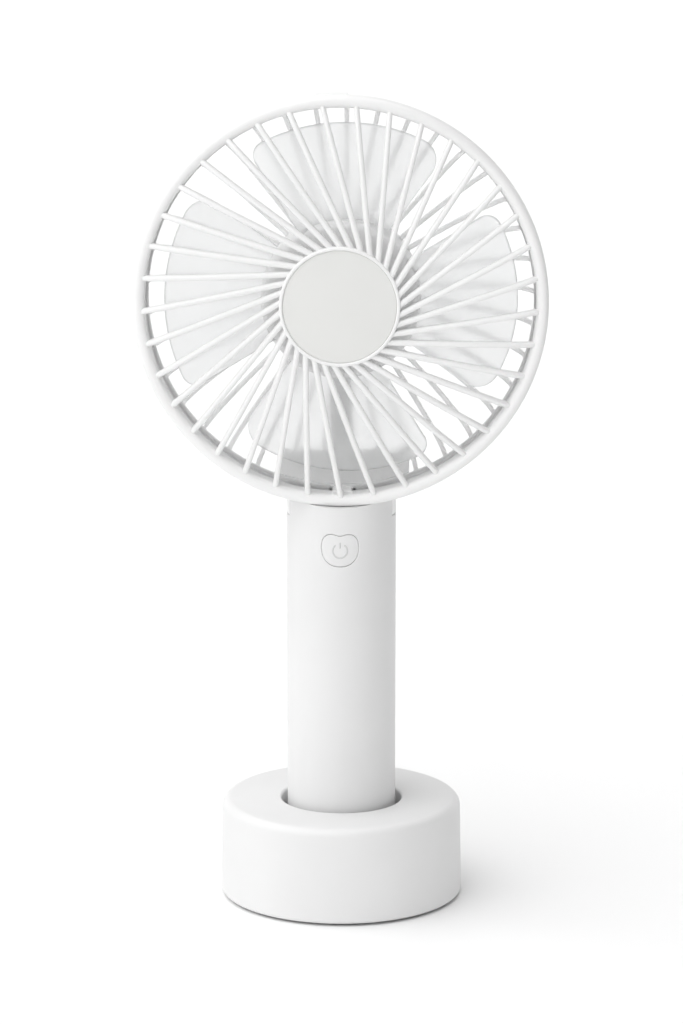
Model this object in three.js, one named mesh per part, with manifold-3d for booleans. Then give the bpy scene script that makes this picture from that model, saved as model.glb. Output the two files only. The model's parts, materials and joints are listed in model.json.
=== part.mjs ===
// A small battery-powered desk fan: a round grille head on a straight round handle that stands in a
// weighted round stand. Millimetres, +Z up, the air blows towards -Y. The origin is the middle of the
// stand's underside.
//
// Every piece is made as a manifold solid from closed three.js geometry, and shown as one named mesh.

import * as THREE from 'three';
import { mergeVertices } from 'three/addons/utils/BufferGeometryUtils.js';
import Module from 'manifold-3d';

const wasm = await Module();
wasm.setup();

// ---------------------------------------------------------------- driving dimensions (mm)

const GAP = 0.3; // left between pieces that touch
const TAU = Math.PI * 2;

const HEAD_Z = 159.7; // height of the fan's axis above the desk
const RIM_R = 53; // outer radius of the grille rim
const RIM_IN_R = 49.8; // inner radius of the rim's front edge
const FRONT_Y = -13; // front edge of the rim
const PARTING_Y = -5; // plane where the front grille meets the rear housing
const CAP_R = 15.4; // centre cup of the front grille
const CAP_Y = -17.7; // front edge of the centre cup
const SPOKES = 37; // spokes in each grille
const SPOKE_W = 1.3; // spoke width, seen from the front
const SPOKE_D = 1.6; // spoke depth, along the fan's axis
const SPOKE_OFFSET = 8.8; // each front spoke passes the fan's axis at this distance, the rear ones cross it
const FIRST_SPOKE = 4.5 * Math.PI / 180; // where the first front spoke meets the rim, clockwise from the top
const REAR_STEP = -3 * Math.PI / 180; // the rear spokes are turned by this

const TIP_R = 45; // blade tip radius
const BLADES = 4;
const FIRST_BLADE = 2.5 * Math.PI / 180; // middle of the top blade, clockwise from the top
const BLADE_SPAN = 68 * Math.PI / 180; // angle that one blade covers
const BLADE_RISE = 10; // how far a blade climbs along the axis from edge to edge
const BLADE_T = 1.3; // blade thickness
const BLADE_CORNER = 6; // corner radius at the tip
const HUB_R = 20.4; // impeller hub
const HUB_FRONT = -9;
const HUB_BACK = 2.6;
const POD_R = 19.5; // motor pod of the rear housing
const POD_FRONT = 3.2; // open front edge of the motor pod
const POD_BACK = 17.5;
const SHAFT_R = 1.0;

const HANDLE_R = 14.15;
const HANDLE_WALL = 1.8;
const NECK_Z = 102.6; // top of the handle's rear shell, where the housing's neck begins
const BUTTON_Z = 95.5;

const DOCK_R = 31.65; // stand radius at the foot
const DOCK_TOP_R = 31.15; // stand radius under the rounded top edge
const DOCK_H = 25.9;
const DOCK_EDGE = 2; // radius of the rounded top edge
const SOCKET_R = 15.75; // bore that takes the handle
const SOCKET_FLOOR = 4.8;

// ---------------------------------------------------------------- solids

const part = new THREE.Group();

// A closed three.js geometry becomes a manifold solid: doubled vertices are joined and the flat
// triangles that a pole leaves behind are dropped.
function solid(geometry) {
  const plain = geometry.clone();
  plain.deleteAttribute('normal');
  plain.deleteAttribute('uv');
  const merged = mergeVertices(plain, 1e-4);
  const index = merged.index.array;
  const triVerts = [];
  for (let i = 0; i < index.length; i += 3) {
    const [a, b, c] = [index[i], index[i + 1], index[i + 2]];
    if (a !== b && b !== c && c !== a) triVerts.push(a, b, c);
  }
  return new wasm.Manifold(new wasm.Mesh({
    numProp: 3,
    vertProperties: Float32Array.from(merged.attributes.position.array),
    triVerts: Uint32Array.from(triVerts),
  }));
}

// Adds a finished solid to the object as a named mesh with its own material.
function piece(name, body, finish) {
  const mesh = body.getMesh();
  const geometry = new THREE.BufferGeometry();
  geometry.setAttribute('position', new THREE.BufferAttribute(mesh.vertProperties, 3));
  geometry.setIndex(new THREE.BufferAttribute(mesh.triVerts, 1));
  geometry.computeVertexNormals();
  const node = new THREE.Mesh(geometry, new THREE.MeshStandardMaterial(finish));
  node.name = name;
  part.add(node);
}

// Adds solids together.
function join(...bodies) {
  return bodies.reduce((whole, body) => whole.add(body));
}

// Cuts every tool out of a solid.
function cut(body, ...tools) {
  return tools.reduce((rest, tool) => rest.subtract(tool), body);
}

// A box between two corners.
function block(low, high) {
  const size = high.map((value, i) => value - low[i]);
  const geometry = new THREE.BoxGeometry(...size);
  geometry.translate(...high.map((value, i) => (value + low[i]) / 2));
  return solid(geometry);
}

// A cylinder along Z, or along Y, between two stations of its axis.
function rodZ(x, y, radius, low, high, sides = 24) {
  const geometry = new THREE.CylinderGeometry(radius, radius, high - low, sides);
  geometry.rotateX(Math.PI / 2);
  geometry.translate(x, y, (low + high) / 2);
  return solid(geometry);
}

function rodY(x, z, radius, low, high, sides = 24) {
  const geometry = new THREE.CylinderGeometry(radius, radius, high - low, sides);
  geometry.translate(x, (low + high) / 2, z);
  return solid(geometry);
}

// A body of revolution about Z or about the fan's axis. Each profile point is [radius, station], and
// the profile runs anticlockwise: outwards along the low side, then up the outside.
function profilePoints(profile, closed) {
  const points = profile.map(([radius, station]) => new THREE.Vector2(radius, station));
  if (closed) points.push(points[0].clone());
  return points;
}

function turnedZ(profile, sides, closed = false) {
  const geometry = new THREE.LatheGeometry(profilePoints(profile, closed), sides);
  geometry.rotateX(Math.PI / 2);
  return solid(geometry);
}

function turnedHead(profile, sides, closed = false) {
  const geometry = new THREE.LatheGeometry(profilePoints(profile, closed), sides);
  geometry.translate(0, 0, HEAD_Z);
  return solid(geometry);
}

// A quarter round from one angle to another about a profile point, as profile points.
function arc(radius, station, r, from, to, steps) {
  const points = [];
  for (let i = 0; i <= steps; i += 1) {
    const angle = (from + (to - from) * i / steps) * Math.PI / 180;
    points.push([radius + r * Math.cos(angle), station + r * Math.sin(angle)]);
  }
  return points;
}

// A flat outline, drawn with x to the right and z up as seen from the front, given depth along Y.
function panel(shape, front, back, curveSegments = 6) {
  const geometry = new THREE.ExtrudeGeometry(shape, {
    depth: back - front,
    bevelEnabled: false,
    curveSegments,
  });
  geometry.rotateX(Math.PI / 2);
  geometry.translate(0, back, 0);
  return solid(geometry);
}

// An outline in the plane of the handle's side view, [y, z] points, given width along X.
function slab(points, left, right) {
  const shape = new THREE.Shape(points.map(([y, z]) => new THREE.Vector2(y, z)));
  const geometry = new THREE.ExtrudeGeometry(shape, { depth: right - left, bevelEnabled: false });
  const turn = new THREE.Matrix4().makeBasis(
    new THREE.Vector3(0, 1, 0),
    new THREE.Vector3(0, 0, 1),
    new THREE.Vector3(1, 0, 0),
  );
  geometry.applyMatrix4(turn);
  geometry.translate(left, 0, 0);
  return solid(geometry);
}

// ---------------------------------------------------------------- finishes

const WHITE_SHELL = { color: 0xf0f0ee, roughness: 0.42, metalness: 0 };
const WARM_WHITE = { color: 0xe6e7e3, roughness: 0.45, metalness: 0 };
const FROSTED_BLADE = { color: 0xe9ebee, roughness: 0.5, metalness: 0 };
const STEEL = { color: 0xb4b6b8, roughness: 0.35, metalness: 1 };
const BRONZE = { color: 0xa8854e, roughness: 0.45, metalness: 1 };
const RUBBER = { color: 0x3a3b3d, roughness: 0.85, metalness: 0 };
const BOARD_GREEN = { color: 0x1f5a3c, roughness: 0.55, metalness: 0 };
const BLACK_PLASTIC = { color: 0x1d1e20, roughness: 0.5, metalness: 0 };
const CELL_WRAP = { color: 0x3f6fae, roughness: 0.4, metalness: 0 };
const MAGNET = { color: 0x4a4b4e, roughness: 0.6, metalness: 0.4 };
const LED_LENS = { color: 0xdfe8dd, roughness: 0.2, metalness: 0 };

// ---------------------------------------------------------------- stand

const DOCK_WALL = 2.2;
const SLEEVE_WALL = 1.8;
const DOCK_FOOT = 0.6; // the cover's lower edge, held off the desk by the pad
const FOOT_ROUND = 1.6; // radius of the cover's lower edge
const BOSS_RING = 25.8; // radius of the circle of screws
const BOSS_R = 2.4;
const SCREWS_ON_RING = 3;

function onScrewRing(index) {
  const angle = TAU * index / SCREWS_ON_RING + Math.PI / 2;
  return [BOSS_RING * Math.cos(angle), BOSS_RING * Math.sin(angle)];
}

function dockShell() {
  const sleeveR = SOCKET_R + SLEEVE_WALL;
  const underTop = DOCK_H - DOCK_WALL;
  const profile = [
    [0, SOCKET_FLOOR - 1.5],
    [sleeveR, SOCKET_FLOOR - 1.5],
    [sleeveR, underTop],
    [DOCK_TOP_R - DOCK_WALL, underTop],
    [DOCK_R - DOCK_WALL, DOCK_FOOT],
    ...arc(DOCK_R - FOOT_ROUND, DOCK_FOOT + FOOT_ROUND, FOOT_ROUND, -90, 0, 3),
    ...arc(DOCK_TOP_R - DOCK_EDGE, DOCK_H - DOCK_EDGE, DOCK_EDGE, 0, 90, 4),
    ...arc(SOCKET_R + 0.8, DOCK_H - 0.8, 0.8, 90, 180, 2),
    [SOCKET_R, SOCKET_FLOOR],
    [0, SOCKET_FLOOR],
  ];
  let shell = turnedZ(profile, 48);
  for (let i = 0; i < SCREWS_ON_RING; i += 1) {
    const [x, y] = onScrewRing(i);
    const boss = rodZ(x, y, BOSS_R, 3.3, underTop + 0.5, 12);
    shell = cut(join(shell, boss), rodZ(x, y, 1.3, 3, 14, 10));
  }
  const ribs = 4;
  for (let i = 0; i < ribs; i += 1) {
    const ribHeight = DOCK_H - SOCKET_FLOOR - 7;
    const geometry = new THREE.BoxGeometry(1.6, 1.2, ribHeight);
    geometry.translate(HANDLE_R + GAP + 0.8, 0, SOCKET_FLOOR - 0.4 + ribHeight / 2);
    geometry.rotateZ(TAU * (i + 0.5) / ribs);
    shell = join(shell, solid(geometry));
  }
  return shell;
}

function dockBasePlate() {
  let plate = rodZ(0, 0, DOCK_R - DOCK_WALL - 0.45, 1.2, 3.0, 48);
  for (let i = 0; i < SCREWS_ON_RING; i += 1) {
    const [x, y] = onScrewRing(i);
    plate = cut(plate, rodZ(x, y, 1.3, 0, 4, 10), rodZ(x, y, 2.4, 0, 2.4, 14));
  }
  return plate;
}

function dockScrew(index) {
  const [x, y] = onScrewRing(index);
  return join(rodZ(x, y, 2.05, 1.3, 2.1, 12), rodZ(x, y, 1.0, 2.0, 12, 8));
}

function dockWeightRing() {
  const inner = SOCKET_R + SLEEVE_WALL + 0.6;
  const outer = BOSS_RING - BOSS_R - 0.5;
  return turnedZ([[inner, 3.3], [outer, 3.3], [outer, 21], [inner, 21]], 40, true);
}

piece('dock_shell', dockShell(), WHITE_SHELL);
piece('dock_base_plate', dockBasePlate(), BLACK_PLASTIC);
piece('dock_weight_ring', dockWeightRing(), STEEL);
piece('dock_grip_pad', rodZ(0, 0, 28.4, 0, 0.9, 48), RUBBER);
for (let i = 0; i < SCREWS_ON_RING; i += 1) piece(`dock_screw_${i + 1}`, dockScrew(i), STEEL);

// ---------------------------------------------------------------- handle

const HANDLE_IN_R = HANDLE_R - HANDLE_WALL;
const HANDLE_FOOT = SOCKET_FLOOR + GAP;
const SHELL_FOOT = 8.9; // where the two shells sit on the end cap
const NECK_SCREW_X = 7.9;
const NECK_SCREW_Z = BUTTON_Z + 3.2;
const PORT_Z = BUTTON_Z - 4.7;
const SEAM_Y = PARTING_Y + GAP / 2; // the front shell reaches up to the rim in front of this plane
const BOARD_Y = 0.9; // front face of the circuit board

function neckScrewAt(sign) {
  return [sign * NECK_SCREW_X, NECK_SCREW_Z];
}

// The tube that both handle shells are cut from.
function handleTube() {
  const profile = [
    [HANDLE_IN_R, SHELL_FOOT],
    [HANDLE_R, SHELL_FOOT],
    [HANDLE_R, NECK_Z + 9],
    [HANDLE_IN_R, NECK_Z + 9],
  ];
  return turnedZ(profile, 40, true);
}

// The button's outline: a soft heart with a shallow notch at the top. spread makes it larger.
function buttonOutline(spread) {
  const w = 4.75 + spread;
  const top = 4.5 + spread;
  const bottom = -4.5 - spread;
  const notch = 3.9 + spread;
  const shape = new THREE.Shape();
  shape.moveTo(0, BUTTON_Z + bottom);
  shape.bezierCurveTo(w * 0.62, BUTTON_Z + bottom, w, BUTTON_Z - w * 0.5, w, BUTTON_Z + w * 0.16);
  shape.bezierCurveTo(w, BUTTON_Z + w * 0.66, w * 0.78, BUTTON_Z + top, w * 0.45, BUTTON_Z + top);
  shape.bezierCurveTo(w * 0.26, BUTTON_Z + top, w * 0.16, BUTTON_Z + notch, 0, BUTTON_Z + notch);
  shape.bezierCurveTo(-w * 0.16, BUTTON_Z + notch, -w * 0.26, BUTTON_Z + top, -w * 0.45, BUTTON_Z + top);
  shape.bezierCurveTo(-w * 0.78, BUTTON_Z + top, -w, BUTTON_Z + w * 0.66, -w, BUTTON_Z + w * 0.16);
  shape.bezierCurveTo(-w, BUTTON_Z - w * 0.5, -w * 0.62, BUTTON_Z + bottom, 0, BUTTON_Z + bottom);
  return shape;
}

function handleFrontShell() {
  const rimSaddle = rodY(0, HEAD_Z, RIM_R + GAP, -40, 40, 96);
  const rearHalf = block([-30, -GAP / 2, -10], [30, 30, 200]);
  const neckSide = block([-30, SEAM_Y, NECK_Z], [30, 30, 200]);
  let shell = cut(handleTube(), rearHalf, neckSide, rimSaddle);
  for (const sign of [-1, 1]) {
    const [x, z] = neckScrewAt(sign);
    const boss = rodY(x, z, 2.3, -11, 3.2, 12).intersect(rodZ(0, 0, HANDLE_R - 0.6, 0, 130, 40));
    shell = cut(join(shell, boss), rodY(x, z, 1.3, -6, 4, 10));
  }
  return cut(shell, panel(buttonOutline(GAP), -20, -8));
}

// The charging opening and the charging socket share this rounded slot.
function slot(width, height, z) {
  const r = height / 2;
  const half = width / 2 - r;
  const shape = new THREE.Shape();
  shape.moveTo(-half, z - r);
  shape.lineTo(half, z - r);
  shape.absarc(half, z, r, -Math.PI / 2, Math.PI / 2, false);
  shape.lineTo(-half, z + r);
  shape.absarc(-half, z, r, Math.PI / 2, Math.PI * 1.5, false);
  return shape;
}

function handleRearShell() {
  const frontHalf = block([-30, -30, -10], [30, GAP / 2, 200]);
  const aboveNeck = block([-30, -30, NECK_Z], [30, 30, 200]);
  let shell = cut(handleTube(), frontHalf, aboveNeck);
  for (const sign of [-1, 1]) {
    const [x, z] = neckScrewAt(sign);
    const boss = rodY(x, z, 2.9, 5.8, 13, 14).intersect(rodZ(0, 0, HANDLE_R - 0.6, 0, 130, 40));
    shell = cut(join(shell, boss), rodY(x, z, 1.3, 5, 20, 10), rodY(x, z, 2.2, 7.4, 20, 14));
  }
  return cut(shell, panel(slot(9.6, 3.8, PORT_Z), 8, 20));
}

function handleEndCap() {
  const round = 1.2;
  const profile = [
    [0, HANDLE_FOOT],
    ...arc(HANDLE_R - round, HANDLE_FOOT + round, round, -90, 0, 3),
    [HANDLE_R, SHELL_FOOT - GAP],
    [HANDLE_IN_R - GAP, SHELL_FOOT - GAP],
    [HANDLE_IN_R - GAP, 12],
    [9, 12],
    [9, 15],
    [0, 15],
  ];
  return turnedZ(profile, 40);
}

function batteryCell() {
  const [foot, top] = [15.4, 80.4];
  const profile = [
    [0, foot],
    ...arc(8.6, foot + 0.6, 0.6, -90, 0, 2),
    ...arc(8.6, top - 2, 0.6, 0, 90, 2),
    [2.8, top - 1.4],
    [2.8, top],
    [0, top],
  ];
  return turnedZ(profile, 24);
}

function chargingSocket() {
  const shell = panel(slot(8.9, 3.1, PORT_Z), BOARD_Y + 1.5, HANDLE_R - 0.5);
  const mouth = panel(slot(8.3, 2.5, PORT_Z), HANDLE_R - 6.5, 20);
  const tongue = block([-3.3, HANDLE_R - 7, PORT_Z - 0.35], [3.3, HANDLE_R - 1.2, PORT_Z + 0.35]);
  return join(cut(shell, mouth), tongue);
}

function tactSwitch() {
  const back = BOARD_Y - GAP;
  const front = back - 3.5;
  const body = block([-3, front, BUTTON_Z - 3], [3, back, BUTTON_Z + 3]);
  return join(body, rodY(0, BUTTON_Z, 1.7, front - 1.4, front + 0.5, 16));
}

// Screw from behind: head in the rear shell's recess, shank through the housing's tongue.
function neckScrew(sign) {
  const [x, z] = neckScrewAt(sign);
  return join(rodY(x, z, 1.9, 7.7, 8.9, 14), rodY(x, z, 1.0, -4, 8, 8));
}

function controlBoard() {
  return block([-5, BOARD_Y, BUTTON_Z - 7.1], [5, BOARD_Y + 1.2, BUTTON_Z + 6.9]);
}

function chargeLed() {
  return block([-0.8, BOARD_Y - 1.2, BUTTON_Z + 4.4], [0.8, BOARD_Y - GAP, BUTTON_Z + 5.5]);
}

piece('handle_front_shell', handleFrontShell(), WHITE_SHELL);
piece('handle_rear_shell', handleRearShell(), WHITE_SHELL);
piece('handle_end_cap', handleEndCap(), WHITE_SHELL);
piece('battery_cell', batteryCell(), CELL_WRAP);
piece('control_board', controlBoard(), BOARD_GREEN);
piece('tact_switch', tactSwitch(), BLACK_PLASTIC);
piece('charging_socket', chargingSocket(), STEEL);
piece('charge_led', chargeLed(), LED_LENS);
piece('neck_screw_1', neckScrew(-1), STEEL);
piece('neck_screw_2', neckScrew(1), STEEL);

// ---------------------------------------------------------------- power button

// A generic power sign: an open ring and a short upright bar.
function powerSign() {
  const [outer, inner] = [1.95, 1.45];
  const open = 32 * Math.PI / 180;
  const [start, end] = [Math.PI / 2 + open, Math.PI * 2.5 - open];
  const ring = new THREE.Shape();
  ring.absarc(0, BUTTON_Z, outer, start, end, false);
  ring.absarc(0, BUTTON_Z, inner, end, start, true);
  const bar = block([-0.27, -20, BUTTON_Z + 0.4], [0.27, -8, BUTTON_Z + 2.3]);
  return join(panel(ring, -20, -8, 14), bar);
}

function powerButton() {
  const face = panel(buttonOutline(0), -20, -10.4).intersect(rodZ(0, 0, HANDLE_R, 80, 110, 80));
  const sign = powerSign().intersect(rodZ(0, 0, HANDLE_R + 0.12, 80, 110, 80));
  const flange = panel(buttonOutline(0.8), -10.7, -10.1);
  const stem = rodY(0, BUTTON_Z, 1.3, -10.4, -5.1, 16);
  return join(face, cut(sign, block([-9, -12, 80], [9, 9, 110])), flange, stem);
}

piece('power_button', powerButton(), WHITE_SHELL);

// ---------------------------------------------------------------- grilles

// One spoke: a flat bent bar, upright on its edge. It passes the fan's axis at the distance offset.
// angle is where it meets the rim, clockwise from the top as seen from the front. path gives the bar's
// middle as [radius, y] points.
function spoke(angle, offset, path) {
  const along = ([radius, y]) => new THREE.Vector2(Math.sqrt(radius ** 2 - offset ** 2), -y);
  const middle = path.map(along);
  const [upper, lower] = [[], []];
  middle.forEach((point, i) => {
    const before = middle[Math.max(i - 1, 0)];
    const after = middle[Math.min(i + 1, middle.length - 1)];
    const side = after.clone().sub(before).normalize().rotateAround(new THREE.Vector2(), Math.PI / 2);
    upper.push(point.clone().addScaledVector(side, SPOKE_D / 2));
    lower.unshift(point.clone().addScaledVector(side, -SPOKE_D / 2));
  });
  const shape = new THREE.Shape([...lower, ...upper]);
  const geometry = new THREE.ExtrudeGeometry(shape, { depth: SPOKE_W, bevelEnabled: false });
  geometry.translate(0, 0, -SPOKE_W / 2 + offset);
  const outerR = path[0][0];
  const heading = angle - Math.asin(offset / outerR);
  const outward = new THREE.Vector3(Math.sin(heading), 0, Math.cos(heading));
  const forward = new THREE.Vector3(0, -1, 0);
  const sideways = new THREE.Vector3().crossVectors(outward, forward);
  geometry.applyMatrix4(new THREE.Matrix4().makeBasis(outward, forward, sideways));
  geometry.translate(0, 0, HEAD_Z);
  return solid(geometry);
}

// Front spokes rise from the rim to the centre cup on a crown that is flat in the middle.
function frontPath() {
  const [outerR, innerR] = [RIM_R - 1.6, CAP_R - 0.5];
  const [atRim, atCup] = [FRONT_Y + 0.9, CAP_Y + 1.6];
  const steps = 3;
  const points = [];
  for (let i = 0; i <= steps; i += 1) {
    const inwards = i / steps;
    const radius = outerR + (innerR - outerR) * inwards;
    points.push([radius, atCup + (atRim - atCup) * (1 - inwards) ** 2]);
  }
  return points;
}

// Rear spokes run straight back from the rim, turn a round shoulder and slope in to the motor pod.
const CAGE_R = 49.4;
const SHOULDER_R = 8;
const SHOULDER_Y = 1.5; // where the shoulder begins

function rearPath() {
  const shoulder = arc(CAGE_R - SHOULDER_R, SHOULDER_Y, SHOULDER_R, 0, 80, 3);
  return [[CAGE_R, PARTING_Y + 1.2], ...shoulder, [POD_R - 0.8, SHOULDER_Y + SHOULDER_R + 4]];
}

const RIM_SIDES = 48;
const LIP_IN_R = 49.3; // inner radius of the housing's lip, inside the rim
const LIP_R = 50.3;
const LIP_Y = PARTING_Y - 2.2; // front edge of that lip
const CLIP_X = 0.5; // the bottom clip sits a little off the middle
const TAB_X = -2.4; // and so does the tab on top

function frontGrille() {
  const noseR = (RIM_R - RIM_IN_R) / 2;
  const noseY = FRONT_Y + noseR;
  const rim = turnedHead([
    [RIM_R, noseY],
    [RIM_R, -9],
    [RIM_R - 0.8, PARTING_Y],
    [LIP_R + GAP, PARTING_Y],
    [LIP_R + GAP, LIP_Y - GAP],
    [RIM_IN_R, LIP_Y - GAP],
    [RIM_IN_R, noseY],
    ...arc(RIM_R - noseR, noseY, noseR, 198, 342, 4),
  ], RIM_SIDES, true);
  const cup = turnedHead([
    [0, CAP_Y + 1.9],
    [CAP_R - 0.9, CAP_Y + 1.9],
    [CAP_R - 0.9, CAP_Y],
    [CAP_R - 0.2, CAP_Y],
    [CAP_R, CAP_Y + 0.3],
    [CAP_R, CAP_Y + 3.3],
    [0, CAP_Y + 3.3],
  ], 36);
  const path = frontPath();
  const bars = [];
  for (let i = 0; i < SPOKES; i += 1) bars.push(spoke(FIRST_SPOKE + TAU * i / SPOKES, SPOKE_OFFSET, path));
  const rimTop = HEAD_Z + RIM_R;
  const tab = block([TAB_X - 4.3, FRONT_Y + 2.5, rimTop - 1.2], [TAB_X + 4.3, PARTING_Y - 2, rimTop + 0.3]);
  const clipZ = HEAD_Z - RIM_IN_R;
  const clip = block([CLIP_X - 2.7, FRONT_Y + 1.5, clipZ - 0.6], [CLIP_X + 2.7, LIP_Y + 1.2, clipZ + 0.9]);
  return join(rim, cup, ...bars, tab, clip);
}

piece('front_grille', frontGrille(), WHITE_SHELL);
piece('front_cap_disc', rodY(0, HEAD_Z, CAP_R - 1.2, CAP_Y + 0.5, CAP_Y + 1.6, 36), WARM_WHITE);

const STRUT_X = 2.7; // half width of the wire strut
const STRUT_FRONT = 5.2;
const STRUT_BACK = 12.5;
const COVERED_Z = HEAD_Z - 36; // the strut's channel is open at the front above this, and has a cover
const MOTOR_SCREW_X = 7;
const PLATE_EDGE_R = 45; // inner edge of the plate at the foot of the rear cage

// The space inside the rear cage: everything in front of the spokes' inner faces.
function cageInside(grow) {
  const inset = SPOKE_D / 2 - grow;
  const [, ...back] = rearPath();
  const outer = back.map(([radius, y]) => [radius - inset, y - inset]);
  return turnedHead([[0, -30], [CAGE_R - inset, -30], ...outer, [0, outer[outer.length - 1][1]]], RIM_SIDES);
}

// The plate that fills the foot of the rear cage and follows its shoulder as far in as PLATE_EDGE_R.
function footPlate() {
  const shell = cut(cageInside(SPOKE_D), cageInside(0), rodY(0, HEAD_Z, PLATE_EDGE_R, -10, 30, RIM_SIDES));
  return shell.intersect(block([-16.3, PARTING_Y + 2, HEAD_Z - 60], [17.5, 30, HEAD_Z - 30]));
}

// The neck carries the head on the handle: it fills the gap up to the cage and slopes off behind.
function neck() {
  const round = rodZ(0, 0, HANDLE_R, NECK_Z + GAP, HEAD_Z - 38, 40);
  const front = block([-30, -30, 60], [30, SEAM_Y + GAP / 2, 220]);
  const slope = slab([[15, 104.5], [9.4, 116.5], [9.4, 150], [40, 150], [40, 104.5]], -30, 30);
  const rimSaddle = cut(rodY(0, HEAD_Z, RIM_R + 10, -40, PARTING_Y + GAP, RIM_SIDES));
  return cut(round, front, slope, rimSaddle, cageInside(0.2));
}

function rearHousing() {
  const rim = turnedHead([
    [RIM_R - 0.85, PARTING_Y + GAP],
    [RIM_R - 1.3, PARTING_Y + 1.6],
    [RIM_R - 2.2, PARTING_Y + 2.4],
    [LIP_IN_R, PARTING_Y + 2.4],
    [LIP_IN_R, LIP_Y],
    [LIP_R, LIP_Y],
    [LIP_R, PARTING_Y + GAP],
  ], RIM_SIDES, true);
  const pod = turnedHead([
    [0, POD_BACK - 2.6],
    [POD_R - 1.6, POD_BACK - 2.6],
    [POD_R - 1.6, POD_FRONT],
    [POD_R, POD_FRONT],
    ...arc(POD_R - 2.5, POD_BACK - 2.5, 2.5, 0, 90, 3),
    [0, POD_BACK],
  ], 32);
  const path = rearPath();
  const bars = [];
  for (let i = 0; i < SPOKES; i += 1) {
    bars.push(spoke(FIRST_SPOKE + REAR_STEP + TAU * i / SPOKES, 0, path));
  }
  const strut = block([-STRUT_X, STRUT_FRONT, HEAD_Z - 48], [STRUT_X, STRUT_BACK, HEAD_Z - POD_R + 1.2]);
  const tongue = block([-10, 3.5, BUTTON_Z - 0.6], [10, 5.5, NECK_Z + 2]);
  const [wireFront, wireBack] = [STRUT_FRONT + 1.5, STRUT_FRONT + 3.3];
  const closedWay = block([-1.6, wireFront, NECK_Z - 5], [1.6, wireBack, COVERED_Z + 2]);
  const openWay = block([-1.6, STRUT_FRONT - 1, COVERED_Z], [1.6, wireBack, HEAD_Z - POD_R + 3]);
  const clipSlot = block([CLIP_X - 3.9, LIP_Y - 1, HEAD_Z - 50.5], [CLIP_X + 3.9, LIP_Y + 2.1, HEAD_Z - 47]);
  const holes = [rodY(0, HEAD_Z, 3.2, 10, 16.4, 20)];
  for (const sign of [-1, 1]) {
    const [x, z] = neckScrewAt(sign);
    holes.push(rodY(x, z, 1.3, 3, 6, 10));
    holes.push(rodY(sign * MOTOR_SCREW_X, HEAD_Z, 1.3, 14, 20, 10));
    holes.push(rodY(sign * MOTOR_SCREW_X, HEAD_Z, 2.2, POD_BACK - 1.3, 20, 14));
  }
  const whole = join(rim, pod, ...bars, strut, footPlate(), neck(), tongue);
  return cut(whole, closedWay, openWay, clipSlot, ...holes);
}

piece('rear_housing', rearHousing(), WHITE_SHELL);

// ---------------------------------------------------------------- motor

const CAN_R = 12;
const CAN_FRONT = -3;
const CAN_BACK = 11.5;

function motorCan() {
  const profile = [
    [2.9, CAN_FRONT - 1.2],
    [4, CAN_FRONT - 1.2],
    [4, CAN_FRONT],
    [CAN_R, CAN_FRONT],
    [CAN_R, CAN_BACK],
    [CAN_R - 1, CAN_BACK],
    [CAN_R - 1, CAN_FRONT + 1],
    [2.9, CAN_FRONT + 1],
  ];
  return turnedHead(profile, 28, true);
}

function motorEndCap() {
  const [front, back] = [CAN_BACK + GAP, POD_BACK - 2.6 - GAP];
  let cap = turnedHead([[2.9, front], [CAN_R, front], [CAN_R, back], [2.9, back]], 28, true);
  for (const sign of [-1, 1]) cap = cut(cap, rodY(sign * MOTOR_SCREW_X, HEAD_Z, 1.3, 10, 16, 10));
  return cap;
}

// A plain bush for the shaft, between two stations of the axis.
function bush(front, back) {
  const boreR = SHAFT_R + 0.1;
  return turnedHead([[boreR, front], [2.6, front], [2.6, back], [boreR, back]], 20, true);
}

function magnetRing() {
  const [inner, outer] = [9.1, CAN_R - 1.3];
  return turnedHead([[inner, -1.2], [outer, -1.2], [outer, 10.8], [inner, 10.8]], 28, true);
}

// Wound rotor core, pressed on the shaft, with a narrower commutator behind it.
function motorRotor() {
  const boreR = SHAFT_R + GAP;
  const profile = [
    [boreR, 0],
    [8.4, 0],
    [8.4, 8],
    [3.2, 8],
    [3.2, 11],
    [boreR, 11],
  ];
  return turnedHead(profile, 24, true);
}

function motorScrew(sign) {
  const x = sign * MOTOR_SCREW_X;
  return join(rodY(x, HEAD_Z, 1.9, POD_BACK - 1.0, POD_BACK - 0.1, 14), rodY(x, HEAD_Z, 1.0, 12.2, 17, 8));
}

// The motor's flat two-core lead, up the neck and the strut to the pod.
function motorLead() {
  return block([-1.2, STRUT_FRONT + 1.8, NECK_Z - 7.5], [1.2, STRUT_FRONT + 3.0, HEAD_Z - CAN_R - 0.4]);
}

function wireCover() {
  const front = STRUT_FRONT - GAP - 0.9;
  return block([-STRUT_X, front, COVERED_Z], [STRUT_X, STRUT_FRONT - GAP, HEAD_Z - POD_R - GAP]);
}

piece('wire_cover', wireCover(), WHITE_SHELL);
piece('motor_lead', motorLead(), BLACK_PLASTIC);
piece('motor_can', motorCan(), STEEL);
piece('motor_magnet_ring', magnetRing(), MAGNET);
piece('motor_end_cap', motorEndCap(), BLACK_PLASTIC);
piece('motor_front_bush', bush(CAN_FRONT - 0.9, CAN_FRONT + 0.9), BRONZE);
piece('motor_rear_bush', bush(CAN_BACK + 0.5, CAN_BACK + 2.8), BRONZE);
piece('motor_screw_1', motorScrew(-1), STEEL);
piece('motor_screw_2', motorScrew(1), STEEL);

// ---------------------------------------------------------------- impeller

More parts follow.
